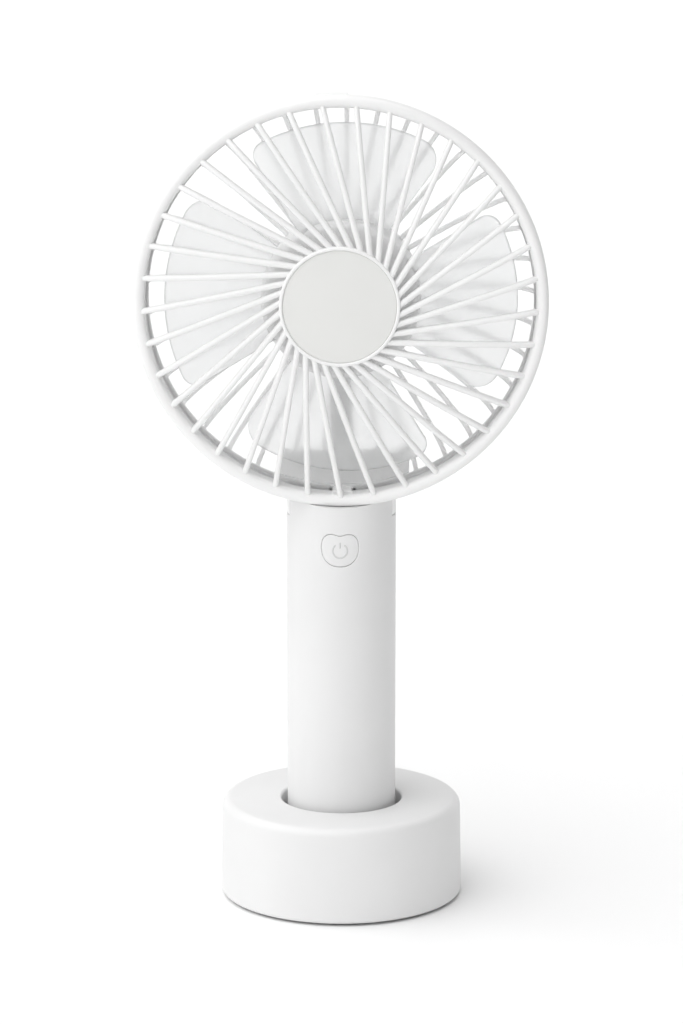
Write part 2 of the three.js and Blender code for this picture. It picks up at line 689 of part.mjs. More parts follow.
// One blade: a box mesh laid out as a sector of a ring, with round tip corners and a steady climb along
// the axis. The edge that leads when the fan turns clockwise, seen from the front, is the rear one.
function blade(middle) {
  const geometry = new THREE.BoxGeometry(1, 1, 1, 10, 3, 1);
  const position = geometry.attributes.position;
  const rootR = HUB_R - 0.9;
  for (let i = 0; i < position.count; i += 1) {
    const across = Math.sin(position.getX(i) * Math.PI);
    const outwards = position.getY(i) + 0.5;
    const fromEdge = (1 - Math.abs(across)) * BLADE_SPAN / 2 * TIP_R;
    const inCorner = Math.max(BLADE_CORNER - fromEdge, 0);
    const cornerDrop = BLADE_CORNER - Math.sqrt(BLADE_CORNER ** 2 - inCorner ** 2);
    const radius = rootR + (TIP_R - cornerDrop - rootR) * outwards;
    const angle = middle + across * BLADE_SPAN / 2;
    const y = (HUB_FRONT + HUB_BACK) / 2 + across * BLADE_RISE / 2 - position.getZ(i) * BLADE_T;
    position.setXYZ(i, radius * Math.sin(angle), y, HEAD_Z + radius * Math.cos(angle));
  }
  return solid(geometry);
}

function impeller() {
  const inner = HUB_R - 1.6;
  const hub = turnedHead([
    [0, HUB_FRONT],
    ...arc(HUB_R - 2, HUB_FRONT + 2, 2, -90, 0, 3),
    [HUB_R, HUB_BACK],
    [inner, HUB_BACK],
    [inner, HUB_FRONT + 1.6],
    [3.2, HUB_FRONT + 1.6],
    [3.2, CAN_FRONT - 1.6],
    [SHAFT_R + GAP, CAN_FRONT - 1.6],
    [SHAFT_R + GAP, HUB_FRONT + 0.8],
    [0, HUB_FRONT + 0.8],
  ], 32);
  const vanes = [];
  for (let i = 0; i < BLADES; i += 1) vanes.push(blade(FIRST_BLADE + TAU * i / BLADES));
  return join(hub, ...vanes);
}

piece('impeller', impeller(), FROSTED_BLADE);
piece('motor_shaft', rodY(0, HEAD_Z, SHAFT_R, HUB_FRONT + 1.1, 14.4, 16), STEEL);
piece('motor_rotor', motorRotor(), MAGNET);

export default part;
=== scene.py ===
"""Looks of a small battery fan that stands in a weighted round stand.

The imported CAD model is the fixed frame. The pieces that show are rebuilt here with finer shapes and
given moulded-plastic, steel and rubber finishes. Metres, +Z up, the air blows towards -Y.
"""
import json
import math

import bmesh
import bpy
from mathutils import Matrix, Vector


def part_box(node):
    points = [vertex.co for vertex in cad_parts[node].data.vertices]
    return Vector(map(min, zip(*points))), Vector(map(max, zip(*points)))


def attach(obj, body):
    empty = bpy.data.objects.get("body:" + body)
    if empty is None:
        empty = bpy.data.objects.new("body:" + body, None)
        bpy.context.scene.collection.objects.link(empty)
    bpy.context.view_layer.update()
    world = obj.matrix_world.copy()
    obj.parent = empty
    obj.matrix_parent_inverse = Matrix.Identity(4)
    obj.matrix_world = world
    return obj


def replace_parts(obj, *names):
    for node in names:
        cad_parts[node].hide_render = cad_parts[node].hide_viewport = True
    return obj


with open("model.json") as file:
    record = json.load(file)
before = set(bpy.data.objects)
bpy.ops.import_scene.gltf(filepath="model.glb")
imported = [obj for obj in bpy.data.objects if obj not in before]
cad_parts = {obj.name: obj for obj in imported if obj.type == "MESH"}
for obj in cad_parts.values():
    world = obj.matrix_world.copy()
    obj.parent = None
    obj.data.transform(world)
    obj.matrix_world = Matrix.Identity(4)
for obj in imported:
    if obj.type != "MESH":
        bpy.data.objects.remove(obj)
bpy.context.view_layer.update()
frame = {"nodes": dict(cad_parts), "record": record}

MM = 0.001
TAU = math.pi * 2

# ------------------------------------------------------------------ sizes, read from the frame


def low(node):
    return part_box(node)[0]


def high(node):
    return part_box(node)[1]


def middle(node):
    return (low(node) + high(node)) / 2


AXIS_Z = middle("front_cap_disc").z / MM  # the fan's axis, in millimetres
RIM_R = (high("front_grille").x - low("front_grille").x) / 2 / MM
PARTING_Y = high("front_grille").y / MM  # plane where the grille meets the rear housing
CUP_FRONT = low("front_grille").y / MM
CUP_R = (high("front_cap_disc").x - low("front_cap_disc").x) / 2 / MM + 1.2
RIM_FRONT = PARTING_Y - 8.0
RIM_IN_R = RIM_R - 3.2
POD_BACK = high("rear_housing").y / MM
HANDLE_R = (high("handle_front_shell").x - low("handle_front_shell").x) / 2 / MM
HANDLE_WALL = 1.8
SHELL_FOOT = low("handle_front_shell").z / MM
NECK_Z = high("handle_rear_shell").z / MM
BUTTON_Z = middle("power_button").z / MM
PORT_Z = middle("charging_socket").z / MM
DOCK_R = high("dock_shell").x / MM
DOCK_H = high("dock_shell").z / MM
DOCK_FOOT = low("dock_shell").z / MM
SPOKES = 37
SPOKE_OFFSET = 8.8  # every spoke passes the fan's axis at this distance
FIRST_SPOKE = math.radians(4.5)
BLADES = 4

# ------------------------------------------------------------------ node trees


class Tree:
    """A node tree with short calls for adding nodes and joining their sockets."""

    def __init__(self, tree):
        self.tree = tree

    def add(self, kind, settings=None, **inputs):
        node = self.tree.nodes.new(kind)
        for name, value in (settings or {}).items():
            setattr(node, name, value)
        for name, value in inputs.items():
            self.feed(self.socket(node, name), value)
        return node

    @staticmethod
    def socket(node, name):
        if name.startswith("_"):
            return node.inputs[int(name[1:])]
        return node.inputs[name.replace("_", " ")]

    def feed(self, socket, value):
        if isinstance(value, bpy.types.NodeSocket):
            self.tree.links.new(value, socket)
        elif isinstance(value, bpy.types.Node):
            self.tree.links.new(value.outputs[0], socket)
        else:
            socket.default_value = value

    def math(self, operation, a, b=0.0, c=0.0):
        return self.add("ShaderNodeMath", {"operation": operation}, _0=a, _1=b, _2=c)

    def xyz(self, x, y, z):
        return self.add("ShaderNodeCombineXYZ", None, X=x, Y=y, Z=z)


# ------------------------------------------------------------------ finishes


def finish_tree(name, **shader_values):
    """A new material with one Principled shader, whose plain values are set on its own sockets."""
    material = bpy.data.materials.new(name)
    material.use_nodes = True
    tree = Tree(material.node_tree)
    shader = material.node_tree.nodes["Principled BSDF"]
    for socket, value in shader_values.items():
        shader.inputs[socket.replace("_", " ")].default_value = value
    place = tree.add("ShaderNodeTexCoord").outputs["Object"]
    return material, tree, shader, place


def tone(tree, place, scale, dark, light, detail=3.0):
    """A colour that drifts softly between two tones over the surface."""
    noise = tree.add("ShaderNodeTexNoise", None, Vector=place, Scale=scale, Detail=detail)
    ramp = tree.add("ShaderNodeValToRGB", None, Fac=noise.outputs["Fac"])
    ramp.color_ramp.elements[0].position = 0.3
    ramp.color_ramp.elements[1].position = 0.7
    ramp.color_ramp.elements[0].color = (*dark, 1)
    ramp.color_ramp.elements[1].color = (*light, 1)
    return ramp.outputs["Color"]


def spread(tree, place, scale, least, most):
    """A number that drifts between two values, for roughness."""
    noise = tree.add("ShaderNodeTexNoise", None, Vector=place, Scale=scale, Detail=4.0)
    return tree.add(
        "ShaderNodeMapRange", None, Value=noise.outputs["Fac"], To_Min=least, To_Max=most
    )


def grain(tree, place, scale, depth, strength, shader):
    """Fine moulded or cast grain as a bump."""
    noise = tree.add("ShaderNodeTexNoise", None, Vector=place, Scale=scale, Detail=2.0)
    bump = tree.add(
        "ShaderNodeBump", None, Strength=strength, Distance=depth, Height=noise.outputs["Fac"]
    )
    tree.feed(shader.inputs["Normal"], bump.outputs["Normal"])


def satin_plastic(name, dark, light, gloss, bump=0.12):
    """Moulded plastic with a spark-eroded satin skin."""
    material, tree, shader, place = finish_tree(name)
    tree.feed(shader.inputs["Base Color"], tone(tree, place, 35, dark, light))
    tree.feed(shader.inputs["Roughness"], spread(tree, place, 220, gloss - 0.04, gloss + 0.05))
    grain(tree, place, 5200, 0.00002, bump, shader)
    return material


def metal(name, dark, light, roughness, scale):
    material, tree, shader, place = finish_tree(name, Metallic=1.0)
    stretch = tree.add("ShaderNodeMapping", None, Vector=place, Scale=(1, 1, 6))
    tree.feed(shader.inputs["Base Color"], tone(tree, stretch.outputs[0], scale, dark, light))
    tree.feed(
        shader.inputs["Roughness"], spread(tree, stretch.outputs[0], scale * 6, roughness - 0.08, roughness + 0.1)
    )
    grain(tree, stretch.outputs[0], scale * 20, 0.00001, 0.15, shader)
    return material


def frosted_plastic(name, tint, roughness, through):
    """Thin frosted plastic that lets soft light through, with painted shade: its colour darkens to about two
    thirds of the tint along marked edges.
    """
    material, tree, shader, place = finish_tree(name, IOR=1.18, Transmission_Weight=through)
    # painted shade: the edge mark blends the colour towards a darker copy of the tint, standing in for the shade
    # seen along the edges
    edge = tree.add("ShaderNodeAttribute", {"attribute_name": "painted edge shade"}).outputs["Fac"]
    mix = tree.add("ShaderNodeMix", {"data_type": "RGBA"}, Factor=edge)
    tree.feed(mix.inputs[6], tone(tree, place, 60, tint, [v + 0.03 for v in tint]))
    tree.feed(mix.inputs[7], tone(tree, place, 60, [v * 0.62 for v in tint], [v * 0.66 for v in tint]))
    tree.feed(shader.inputs["Base Color"], mix.outputs[2])
    tree.feed(shader.inputs["Roughness"], spread(tree, place, 300, roughness - 0.04, roughness + 0.04))
    grain(tree, place, 4000, 0.00002, 0.1, shader)
    return material


def battery_wrap(name):
    """Shrink wrap with a lighter band near its top."""
    material, tree, shader, place = finish_tree(name, Coat_Weight=0.3)
    height = tree.add("ShaderNodeSeparateXYZ", None, Vector=place).outputs["Z"]
    band = tree.math("COMPARE", height, 0.074, 0.0012)
    body = tone(tree, place, 80, (0.05, 0.16, 0.36), (0.07, 0.2, 0.42))
    mix = tree.add("ShaderNodeMix", {"data_type": "RGBA"}, Factor=band.outputs[0])
    tree.feed(mix.inputs[6], body)
    mix.inputs[7].default_value = (0.6, 0.62, 0.6, 1)
    tree.feed(shader.inputs["Base Color"], mix.outputs[2])
    tree.feed(shader.inputs["Roughness"], spread(tree, place, 200, 0.3, 0.42))
    grain(tree, place, 900, 0.00005, 0.2, shader)
    return material


def grip_rubber(name):
    """Matt rubber sheet with fine concentric ribs."""
    material, tree, shader, place = finish_tree(name)
    tree.feed(shader.inputs["Base Color"], tone(tree, place, 150, (0.03, 0.03, 0.032), (0.05, 0.05, 0.052)))
    tree.feed(shader.inputs["Roughness"], spread(tree, place, 400, 0.75, 0.9))
    rings = tree.add(
        "ShaderNodeTexWave",
        {"wave_type": "RINGS", "rings_direction": "Z"},
        Vector=place,
        Scale=160,
    )
    bump = tree.add(
        "ShaderNodeBump", None, Strength=0.5, Distance=0.0002, Height=rings.outputs["Fac"]
    )
    tree.feed(shader.inputs["Normal"], bump.outputs["Normal"])
    return material


white_shell = satin_plastic("white_satin_shell", (0.755, 0.755, 0.755), (0.785, 0.785, 0.785), 0.4)
cap_white = satin_plastic("warm_white_disc", (0.75, 0.752, 0.735), (0.77, 0.772, 0.755), 0.5)
cage_white = satin_plastic("white_grille", (0.85, 0.85, 0.848), (0.88, 0.88, 0.878), 0.42)
# painted light: a lighter copy of the white plastic, brightened to lift the shade that the rear housing, neck,
# strut and foot plate sit in
shade_lifted_housing_white = satin_plastic("white_housing_painted_light", (0.88, 0.88, 0.88), (0.91, 0.91, 0.91), 0.42)
thin_bar_white = frosted_plastic("thin_white_bar", (0.93, 0.93, 0.93), 0.45, 0.5)
hub_white = satin_plastic("white_hub", (0.9, 0.9, 0.9), (0.93, 0.93, 0.93), 0.42)
sign_grey = satin_plastic("grey_sign", (0.6, 0.6, 0.6), (0.64, 0.64, 0.64), 0.5)
blade_frost = frosted_plastic("frosted_blade", (0.95, 0.955, 0.955), 0.4, 0.8)
black_plastic = satin_plastic("black_moulding", (0.02, 0.02, 0.022), (0.035, 0.035, 0.037), 0.5)
board_green = satin_plastic("circuit_board", (0.02, 0.12, 0.06), (0.03, 0.17, 0.09), 0.45)
dark_iron = satin_plastic("dark_magnet_iron", (0.06, 0.06, 0.065), (0.1, 0.1, 0.105), 0.55)
lamp_lens = frosted_plastic("lamp_lens", (0.78, 0.86, 0.76), 0.2, 0.6)
plain_steel = metal("plain_steel", (0.5, 0.51, 0.52), (0.62, 0.63, 0.64), 0.32, 90)
bronze = metal("sintered_bronze", (0.46, 0.3, 0.13), (0.6, 0.42, 0.2), 0.45, 400)
cell_wrap = battery_wrap("cell_wrap")
rubber = grip_rubber("grip_rubber")

SLOT_FINISH = {
    "white_shell": white_shell,
    "cap_disc": cap_white,
    "blades": blade_frost,
    "steel": plain_steel,
    "bronze": bronze,
    "grip_rubber": rubber,
    "board": board_green,
    "black_plastic": black_plastic,
    "cell_wrap": cell_wrap,
    "magnet": dark_iron,
    "led_lens": lamp_lens,
}

for entry in frame["record"]["subparts"]:
    node_mesh = frame["nodes"][entry["node"]].data
    node_mesh.materials.clear()
    node_mesh.materials.append(SLOT_FINISH[entry["material_slot"]])

# ------------------------------------------------------------------ mesh building


def show(name, verts, faces, finish, body, crease=35):
    """A finished piece from points in millimetres: closed, smooth, riding on its body."""
    mesh = bpy.data.meshes.new(name)
    mesh.from_pydata([Vector(v) * MM for v in verts], [], faces)
    return show_mesh(name, mesh, finish, body, crease)


def show_mesh(name, mesh, finish, body, crease=35):
    work = bmesh.new()
    work.from_mesh(mesh)
    bmesh.ops.remove_doubles(work, verts=work.verts, dist=2e-6)
    bmesh.ops.recalc_face_normals(work, faces=work.faces)
    work.to_mesh(mesh)
    work.free()
    mesh.materials.clear()
    mesh.materials.append(finish)
    mesh.shade_smooth()
    mesh.set_sharp_from_angle(angle=math.radians(crease))
    piece = bpy.data.objects.new(name, mesh)
    bpy.context.scene.collection.objects.link(piece)
    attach(piece, body)
    return piece


def rounded(points, radius, steps=4, closed=True):
    """A flat outline with every corner rounded. A point may carry its own radius as a third value."""
    result = []
    count = len(points)
    for i, point in enumerate(points):
        here = Vector(point[:2])
        r = point[2] if len(point) > 2 else radius
        if not closed and i in (0, count - 1):
            result.append(tuple(here))
            continue
        to_last = Vector(points[i - 1][:2]) - here
        to_next = Vector(points[(i + 1) % count][:2]) - here
        turn = to_last.angle(to_next, math.pi)
        if r <= 0 or turn > math.radians(178):
            result.append(tuple(here))
            continue
        back = min(r / math.tan(turn / 2), to_last.length * 0.49, to_next.length * 0.49)
        r = back * math.tan(turn / 2)
        start = here + to_last.normalized() * back
        end = here + to_next.normalized() * back
        centre = here + (to_last.normalized() + to_next.normalized()).normalized() * (r / math.sin(turn / 2))
        a, b = start - centre, end - centre
        sweep = a.angle(b)
        for k in range(steps + 1):
            t = k / steps
            mix = a * math.sin((1 - t) * sweep) + b * math.sin(t * sweep)
            result.append(tuple(centre + mix / math.sin(sweep)))
    return result


def turned(profile, sides, about):
    """Points and faces of a body of revolution. Profile points are (radius, station); about places them.

    A point with no radius is a pole. The profile is a closed loop, unless both its ends are poles."""
    verts, faces, rows = [], [], []
    for radius, station in profile:
        if radius < 1e-6:
            rows.append([len(verts)] * sides)
            verts.append(about(0, 0, station))
            continue
        rows.append([len(verts) + k for k in range(sides)])
        for k in range(sides):
            a = TAU * k / sides
            verts.append(about(radius * math.cos(a), radius * math.sin(a), station))
    ends_on_axis = profile[0][0] < 1e-6 and profile[-1][0] < 1e-6
    for i in range(len(rows) - (1 if ends_on_axis else 0)):
        a, b = rows[i], rows[(i + 1) % len(rows)]
        for k in range(sides):
            n = (k + 1) % sides
            ring = [a[k], a[n], b[n], b[k]]
            face = [v for j, v in enumerate(ring) if v not in ring[:j]]
            if len(face) > 2:
                faces.append(face)
    return verts, faces


def about_fan_axis(a, b, station):
    return (a, station, AXIS_Z + b)


def about_stand_axis(a, b, station):
    return (a, b, station)


def clean(profile, step=0.02):
    """Drops points that fall on top of the one before."""
    kept = [profile[0]]
    for point in profile[1:]:
        if math.dist(point, kept[-1]) > step:
            kept.append(point)
    return kept


def head_piece(name, profile, finish, body, sides=192):
    verts, faces = turned(clean(profile), sides, about_fan_axis)
    return show(name, verts, faces, finish, body)


def stand_piece(name, profile, finish, body, sides=192):
    verts, faces = turned(clean(profile), sides, about_stand_axis)
    return show(name, verts, faces, finish, body)


def joined(*parts):
    """Several (points, faces) lists as one."""
    verts, faces = [], []
    for part_verts, part_faces in parts:
        start = len(verts)
        verts += part_verts
        faces += [[v + start for v in face] for face in part_faces]
    return verts, faces


def bands(rings, count, start=0):
    """Four-sided faces between neighbouring rings of count points each, the first point numbered start."""
    faces = []
    for i in range(rings - 1):
        for k in range(count):
            a, n = start + i * count, (k + 1) % count
            faces.append([a + k, a + n, a + count + n, a + count + k])
    return faces


def ends(rings, count, start=0):
    """The flat faces that close the first and the last ring."""
    last = start + (rings - 1) * count
    return [list(range(start, start + count)), list(range(last, last + count))]


def fan(centre, count, start):
    """Three-sided faces from one point to a ring of points."""
    return [[centre, start + k, start + (k + 1) % count] for k in range(count)]


def prism(outline, place, stations):
    """A closed bar: the outline repeated at each (station, inset), with flat ends. place gives the point."""
    verts = []
    count = len(outline)
    centre = sum((Vector(p) for p in outline), Vector((0, 0))) / count
    for station, inset in stations:
        for p in outline:
            away = Vector(p) - centre
            kept = Vector(p) - away.normalized() * inset if away.length > 1e-9 else Vector(p)
            verts.append(place(kept.x, kept.y, station))
    return verts, bands(len(stations), count) + ends(len(stations), count)


def soft_ends(front, back, edge, steps=3):
    """Stations of a bar from front to back whose two ends are rounded over."""
    stations = []
    for k in range(steps + 1):
        a = math.pi / 2 * k / steps
        stations.append((front + edge * (1 - math.sin(a)), edge * (1 - math.cos(a))))
    mirrored = [(front + back - station, inset) for station, inset in reversed(stations)]
    return stations + mirrored


def soft_block(low_corner, high_corner, edge):
    """A block with rounded edges, its ends along Y."""
    (x0, y0, z0), (x1, y1, z1) = low_corner, high_corner
    outline = rounded([(x0, z0), (x1, z0), (x1, z1), (x0, z1)], edge, 3)
    return prism(outline, lambda a, b, station: (a, station, b), soft_ends(y0, y1, edge))


def swept(section, start, stop, steps):
    """A closed bar with this (radius, station) section, swept round the fan's axis from start to stop."""
    verts = []
    count = len(section)
    for k in range(steps + 1):
        a = start + (stop - start) * k / steps
        verts += [(r * math.sin(a), y, AXIS_Z + r * math.cos(a)) for r, y in section]
    return verts, bands(steps + 1, count) + ends(steps + 1, count)


def sheet(outer, inner):
    """A closed plate between two grids of points with the same rows and columns."""
    rows, columns = len(outer), len(outer[0])
    verts = [v for grid in (outer, inner) for row in grid for v in row]
    shift = rows * columns
    faces = []
    for i in range(rows - 1):
        for j in range(columns - 1):
            a = i * columns + j
            faces.append([a, a + 1, a + columns + 1, a + columns])
            faces.append([a + shift, a + columns + shift, a + columns + 1 + shift, a + 1 + shift])
    border = [(0, j) for j in range(columns)] + [(i, columns - 1) for i in range(1, rows)]
    border += [(rows - 1, j) for j in range(columns - 2, -1, -1)] + [(i, 0) for i in range(rows - 2, 0, -1)]
    ring = [i * columns + j for i, j in border]
    for k, a in enumerate(ring):
        b = ring[(k + 1) % len(ring)]
        faces.append([a, b, b + shift, a + shift])
    return verts, faces


def cross_screw(centre, towards, head_r, head_h, length):
    """A pan head with a cross recess, and a pointed shank. towards is 1 or -1 along the axis's letter."""
    axis, sign = towards
    rings, slots = 14, 64
    verts = []

    def put(x, y, out):
        offset = (x, out * sign, y) if axis == "Y" else (x, y, out * sign)
        verts.append(tuple(c + o for c, o in zip(centre, offset)))

    def face_height(x, y):
        r = math.hypot(x, y)
        dome = head_h * (1 - 0.45 * (r / head_r) ** 3)
        arm = min(abs(x), abs(y)) < head_r * 0.13 and max(abs(x), abs(y)) < head_r * 0.58
        return dome - (head_h * 0.6 if arm else 0)

    put(0, 0, face_height(0, 0))
    profile = [(head_r * k / rings, None) for k in range(1, rings + 1)]
    shank = head_r * 0.5
    profile += [(head_r, 0.0), (shank, 0.0), (shank * 0.9, -length + 1.2), (0.15, -length)]
    for r, out in profile:
        for k in range(slots):
            x, y = r * math.cos(TAU * k / slots), r * math.sin(TAU * k / slots)
            put(x, y, face_height(x, y) if out is None else out)
    count = len(profile)
    return verts, fan(0, slots, 1) + bands(count, slots, 1) + ends(count, slots, 1)[1:]


# ------------------------------------------------------------------ grille bars (geometry nodes)


def curved_path(tree, along, end_in, end_out, inner, outer, power):
    """Radius and station of a bar's middle: a quarter of a rounded square from the rim to the middle."""
    turn = tree.math("MULTIPLY", along, math.pi / 2)
    exponent = tree.math("DIVIDE", 2.0, power)
    sweep_in = tree.math("POWER", tree.math("COSINE", turn), exponent)
    sweep_up = tree.math("POWER", tree.math("SINE", turn), exponent)
    radius = tree.math("MULTIPLY_ADD", sweep_in, tree.math("SUBTRACT", outer, inner), inner)
    station = tree.math("MULTIPLY_ADD", sweep_up, tree.math("SUBTRACT", end_in, end_out), end_out)
    return radius, station


def new_group(name, count, numbers):
    """A geometry tree with a count, these named numbers and a finish as its inputs."""
    group = bpy.data.node_groups.new(name, "GeometryNodeTree")
    face = group.interface
    face.new_socket("Geometry", in_out="INPUT", socket_type="NodeSocketGeometry")
    face.new_socket("Count", in_out="INPUT", socket_type="NodeSocketInt").default_value = count
    for label, value in numbers.items():
        socket = face.new_socket(label, in_out="INPUT", socket_type="NodeSocketFloat")
        socket.default_value = value
    face.new_socket("Finish", in_out="INPUT", socket_type="NodeSocketMaterial")
    face.new_socket("Geometry", in_out="OUTPUT", socket_type="NodeSocketGeometry")
    tree = Tree(group)
    return group, tree, tree.add("NodeGroupInput").outputs


def repeat_round_axis(tree, given, shaped, lean):
    """Repeats one shape round the fan's axis, each copy turned back by the lean, and gives the finish."""
    step = tree.math("DIVIDE", TAU, given["Count"])
    angle = tree.math("MULTIPLY_ADD", tree.add("GeometryNodeInputIndex"), step, given["First Angle"])
    turn = tree.xyz(0.0, tree.math("SUBTRACT", angle, lean), 0.0)
    posts = tree.add("GeometryNodePoints", None, Count=given["Count"])
    ring = tree.add("GeometryNodeInstanceOnPoints", None, Points=posts, Instance=shaped, Rotation=turn)
    ring = tree.add("GeometryNodeRealizeInstances", None, Geometry=ring)
    lift = tree.xyz(0.0, 0.0, given["Axis Height"])
    ring = tree.add("GeometryNodeTransform", None, Geometry=ring, Translation=lift)
    ring = tree.add("GeometryNodeTransform", None, Geometry=ring, Scale=(MM, MM, MM))
    ring = tree.add("GeometryNodeSetShadeSmooth", None, Geometry=ring)
    ring = tree.add("GeometryNodeSetMaterial", None, Geometry=ring, Material=given["Finish"])
    tree.add("NodeGroupOutput", None, Geometry=ring)


def bar_cage_tree():
    """Bars from a rim to a middle, each passing the axis at a distance, repeated round the axis."""
    numbers = {
        "Rim Radius": 50.0,
        "Rim Station": -12.0,
        "Middle Radius": 15.0,
        "Middle Station": -16.0,
        "Squareness": 2.0,
        "Offset": SPOKE_OFFSET,
        "Width at Rim": 1.2,
        "Width at Middle": 1.3,
        "Depth": 1.8,
        "Root Flare": 0.6,
        "First Angle": 0.0,
        "Axis Height": AXIS_Z,
    }
    group, tree, given = new_group("bar cage", SPOKES, numbers)
    bar = tree.add(
        "GeometryNodeMeshCylinder",
        {"fill_type": "NGON"},
        Vertices=12,
        Side_Segments=26,
        Radius=1.0,
        Depth=1.0,
    ).outputs["Mesh"]
    spot = tree.add("ShaderNodeSeparateXYZ", None, Vector=tree.add("GeometryNodeInputPosition"))
    along = tree.math("SUBTRACT", 0.5, spot.outputs["Z"])
    along = tree.add("ShaderNodeClamp", None, Value=along).outputs[0]
    radius, station = curved_path(
        tree, along, given["Middle Station"], given["Rim Station"],
        given["Middle Radius"], given["Rim Radius"], given["Squareness"],
    )
    offset_squared = tree.math("MULTIPLY", given["Offset"], given["Offset"])
    outward = tree.math("SQRT", tree.math("SUBTRACT", tree.math("MULTIPLY", radius, radius), offset_squared))
    across, deep = [
        tree.math("MAXIMUM", tree.math("MINIMUM", tree.math("MULTIPLY", spot.outputs[axis], 1.12), 1.0), -1.0)
        for axis in "XY"
    ]
    taper = tree.math("SUBTRACT", given["Width at Middle"], given["Width at Rim"])
    width = tree.math("MULTIPLY_ADD", along, taper, given["Width at Rim"])
    root = tree.math("MAXIMUM", tree.math("SUBTRACT", 1.0, tree.math("MULTIPLY", along, 11.0)), 0.0)
    flare = tree.math("MULTIPLY_ADD", tree.math("POWER", root, 2.0), given["Root Flare"], 1.0)
    half_width = tree.math("MULTIPLY", tree.math("MULTIPLY", width, flare), 0.5)
    side = tree.math("MULTIPLY_ADD", across, half_width, given["Offset"])
    y = tree.math("MULTIPLY_ADD", deep, tree.math("MULTIPLY", given["Depth"], 0.5), station)
    shaped = tree.add(
        "GeometryNodeSetPosition", None, Geometry=bar, Position=tree.xyz(side, y, outward)
    ).outputs[0]

    lean = tree.math("ARCSINE", tree.math("DIVIDE", given["Offset"], given["Rim Radius"]))
    repeat_round_axis(tree, given, shaped, lean)
    return group


def grown(name, group, values, finish, body, crease=35):
    """Runs a geometry tree with these named inputs and shows the result as one plain mesh."""
    seed_mesh = bpy.data.meshes.new(name + "_seed")
    maker = bpy.data.objects.new(name + "_maker", seed_mesh)
    bpy.context.scene.collection.objects.link(maker)
    modifier = maker.modifiers.new("grow", "NODES")
    modifier.node_group = group
    sockets = {s.name: s.identifier for s in group.interface.items_tree if s.in_out == "INPUT"}
    for socket, value in {**values, "Finish": finish}.items():
        modifier[sockets[socket]] = value
    bpy.context.view_layer.update()
    ready = maker.evaluated_get(bpy.context.evaluated_depsgraph_get())
    mesh = bpy.data.meshes.new_from_object(ready)
    maker.modifiers.remove(modifier)
    bpy.data.objects.remove(maker)
    return show_mesh(name, mesh, finish, body, crease)


cage_bars = bar_cage_tree()

# ------------------------------------------------------------------ front grille


def front_rim():
    """The rim: a rounded nose in front, a straight outer band that draws in a little towards the back."""
    nose = (RIM_R - RIM_IN_R) / 2
    profile = [
        (RIM_R, RIM_FRONT, nose),
        (RIM_R, -9.0, 6.0),
        (RIM_R - 0.8, PARTING_Y, 0.25),
        (RIM_R - 2.45, PARTING_Y, 0.15),
        (RIM_R - 2.45, PARTING_Y - 2.5, 0.0),
        (RIM_IN_R, PARTING_Y - 2.5, 0.2),
        (RIM_IN_R, RIM_FRONT, nose),
    ]
    return head_piece("grille_rim", rounded(profile, 0.2, 8), cage_white, "grille", 256)


def front_cup():
    wall = 0.9
    back = CUP_FRONT + 3.3
    profile = [
        (0, CUP_FRONT + 1.9),
        (CUP_R - wall, CUP_FRONT + 1.9, 0.1),
        (CUP_R - wall, CUP_FRONT, 0.3),
        (CUP_R, CUP_FRONT, 0.42),
        (CUP_R, back, 0.5),
        (0, back),
    ]
    return head_piece(
        "grille_cup", rounded(profile, 0.2, 5, closed=False), cage_white, "grille"
    )


def cap_disc():
    edge = CUP_R - 0.88
    front, back = CUP_FRONT + 0.3, CUP_FRONT + 1.6
    profile = [(0, front), (edge, front, 0.35), (edge, back, 0.15), (0, back)]
    return head_piece(
        "cap_disc", rounded(profile, 0.2, 5, closed=False), cap_white, "grille"
    )


front_bars = grown(
    "grille_bars",
    cage_bars,
    {
        "Count": SPOKES,
        "Rim Radius": RIM_IN_R + 1.3,
        "Rim Station": RIM_FRONT + 2.1,
        "Middle Radius": CUP_R - 0.5,
        "Middle Station": CUP_FRONT + 1.7,
        "Squareness": 1.7,
        "Width at Rim": 1.45,
        "Width at Middle": 1.55,
        "Depth": 2.6,
        "Root Flare": 0.7,
        "First Angle": FIRST_SPOKE,
    },
    cage_white,
    "grille",
    60,
)
CLIP_X = 0.5


def rim_catches():
    """The grip tab on top of the rim and the snap clip at its foot."""
    foot = AXIS_Z - RIM_IN_R
    section = [
        (RIM_R - 1.2, RIM_FRONT + 2.3),
        (RIM_R + 0.3, RIM_FRONT + 2.3, 0.35),
        (RIM_R + 0.3, PARTING_Y - 1.8, 0.35),
        (RIM_R - 1.2, PARTING_Y - 1.8),
    ]
    tab = swept(rounded(section, 0.0, 3), -6.7 / RIM_R, 1.9 / RIM_R, 12)
    clip = soft_block((CLIP_X - 2.7, RIM_FRONT + 1.5, foot - 0.6), (CLIP_X + 2.7, PARTING_Y - 1, foot + 0.9), 0.35)
    verts, faces = joined(tab, clip)
    return show("grille_catches", verts, faces, cage_white, "grille", 60)


for shown in (front_rim(), front_cup(), front_bars, rim_catches()):
    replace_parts(shown, "front_grille")
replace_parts(cap_disc(), "front_cap_disc")

# ------------------------------------------------------------------ rear cage, pod and neck

CAGE_R = RIM_R - 3.1
POD_R = 19.5
CAGE_IN, CAGE_OUT = POD_R - 0.8, PARTING_Y + 1.2
CAGE_BACK = 13.5
CAGE_POWER = 2.7
PLATE_EDGE_R = 45.0


def rear_rim():
    profile = [
        (RIM_R - 0.85, PARTING_Y + 0.3, 0.2),
        (RIM_R - 1.3, PARTING_Y + 1.6, 1.0),
        (RIM_R - 2.4, PARTING_Y + 2.5, 0.4),
        (RIM_R - 3.75, PARTING_Y + 2.5, 0.3),
        (RIM_R - 3.75, PARTING_Y + 0.3, 0.0),
    ]
    return head_piece("housing_rim", rounded(profile, 0.2, 5), shade_lifted_housing_white, "handle", 256)


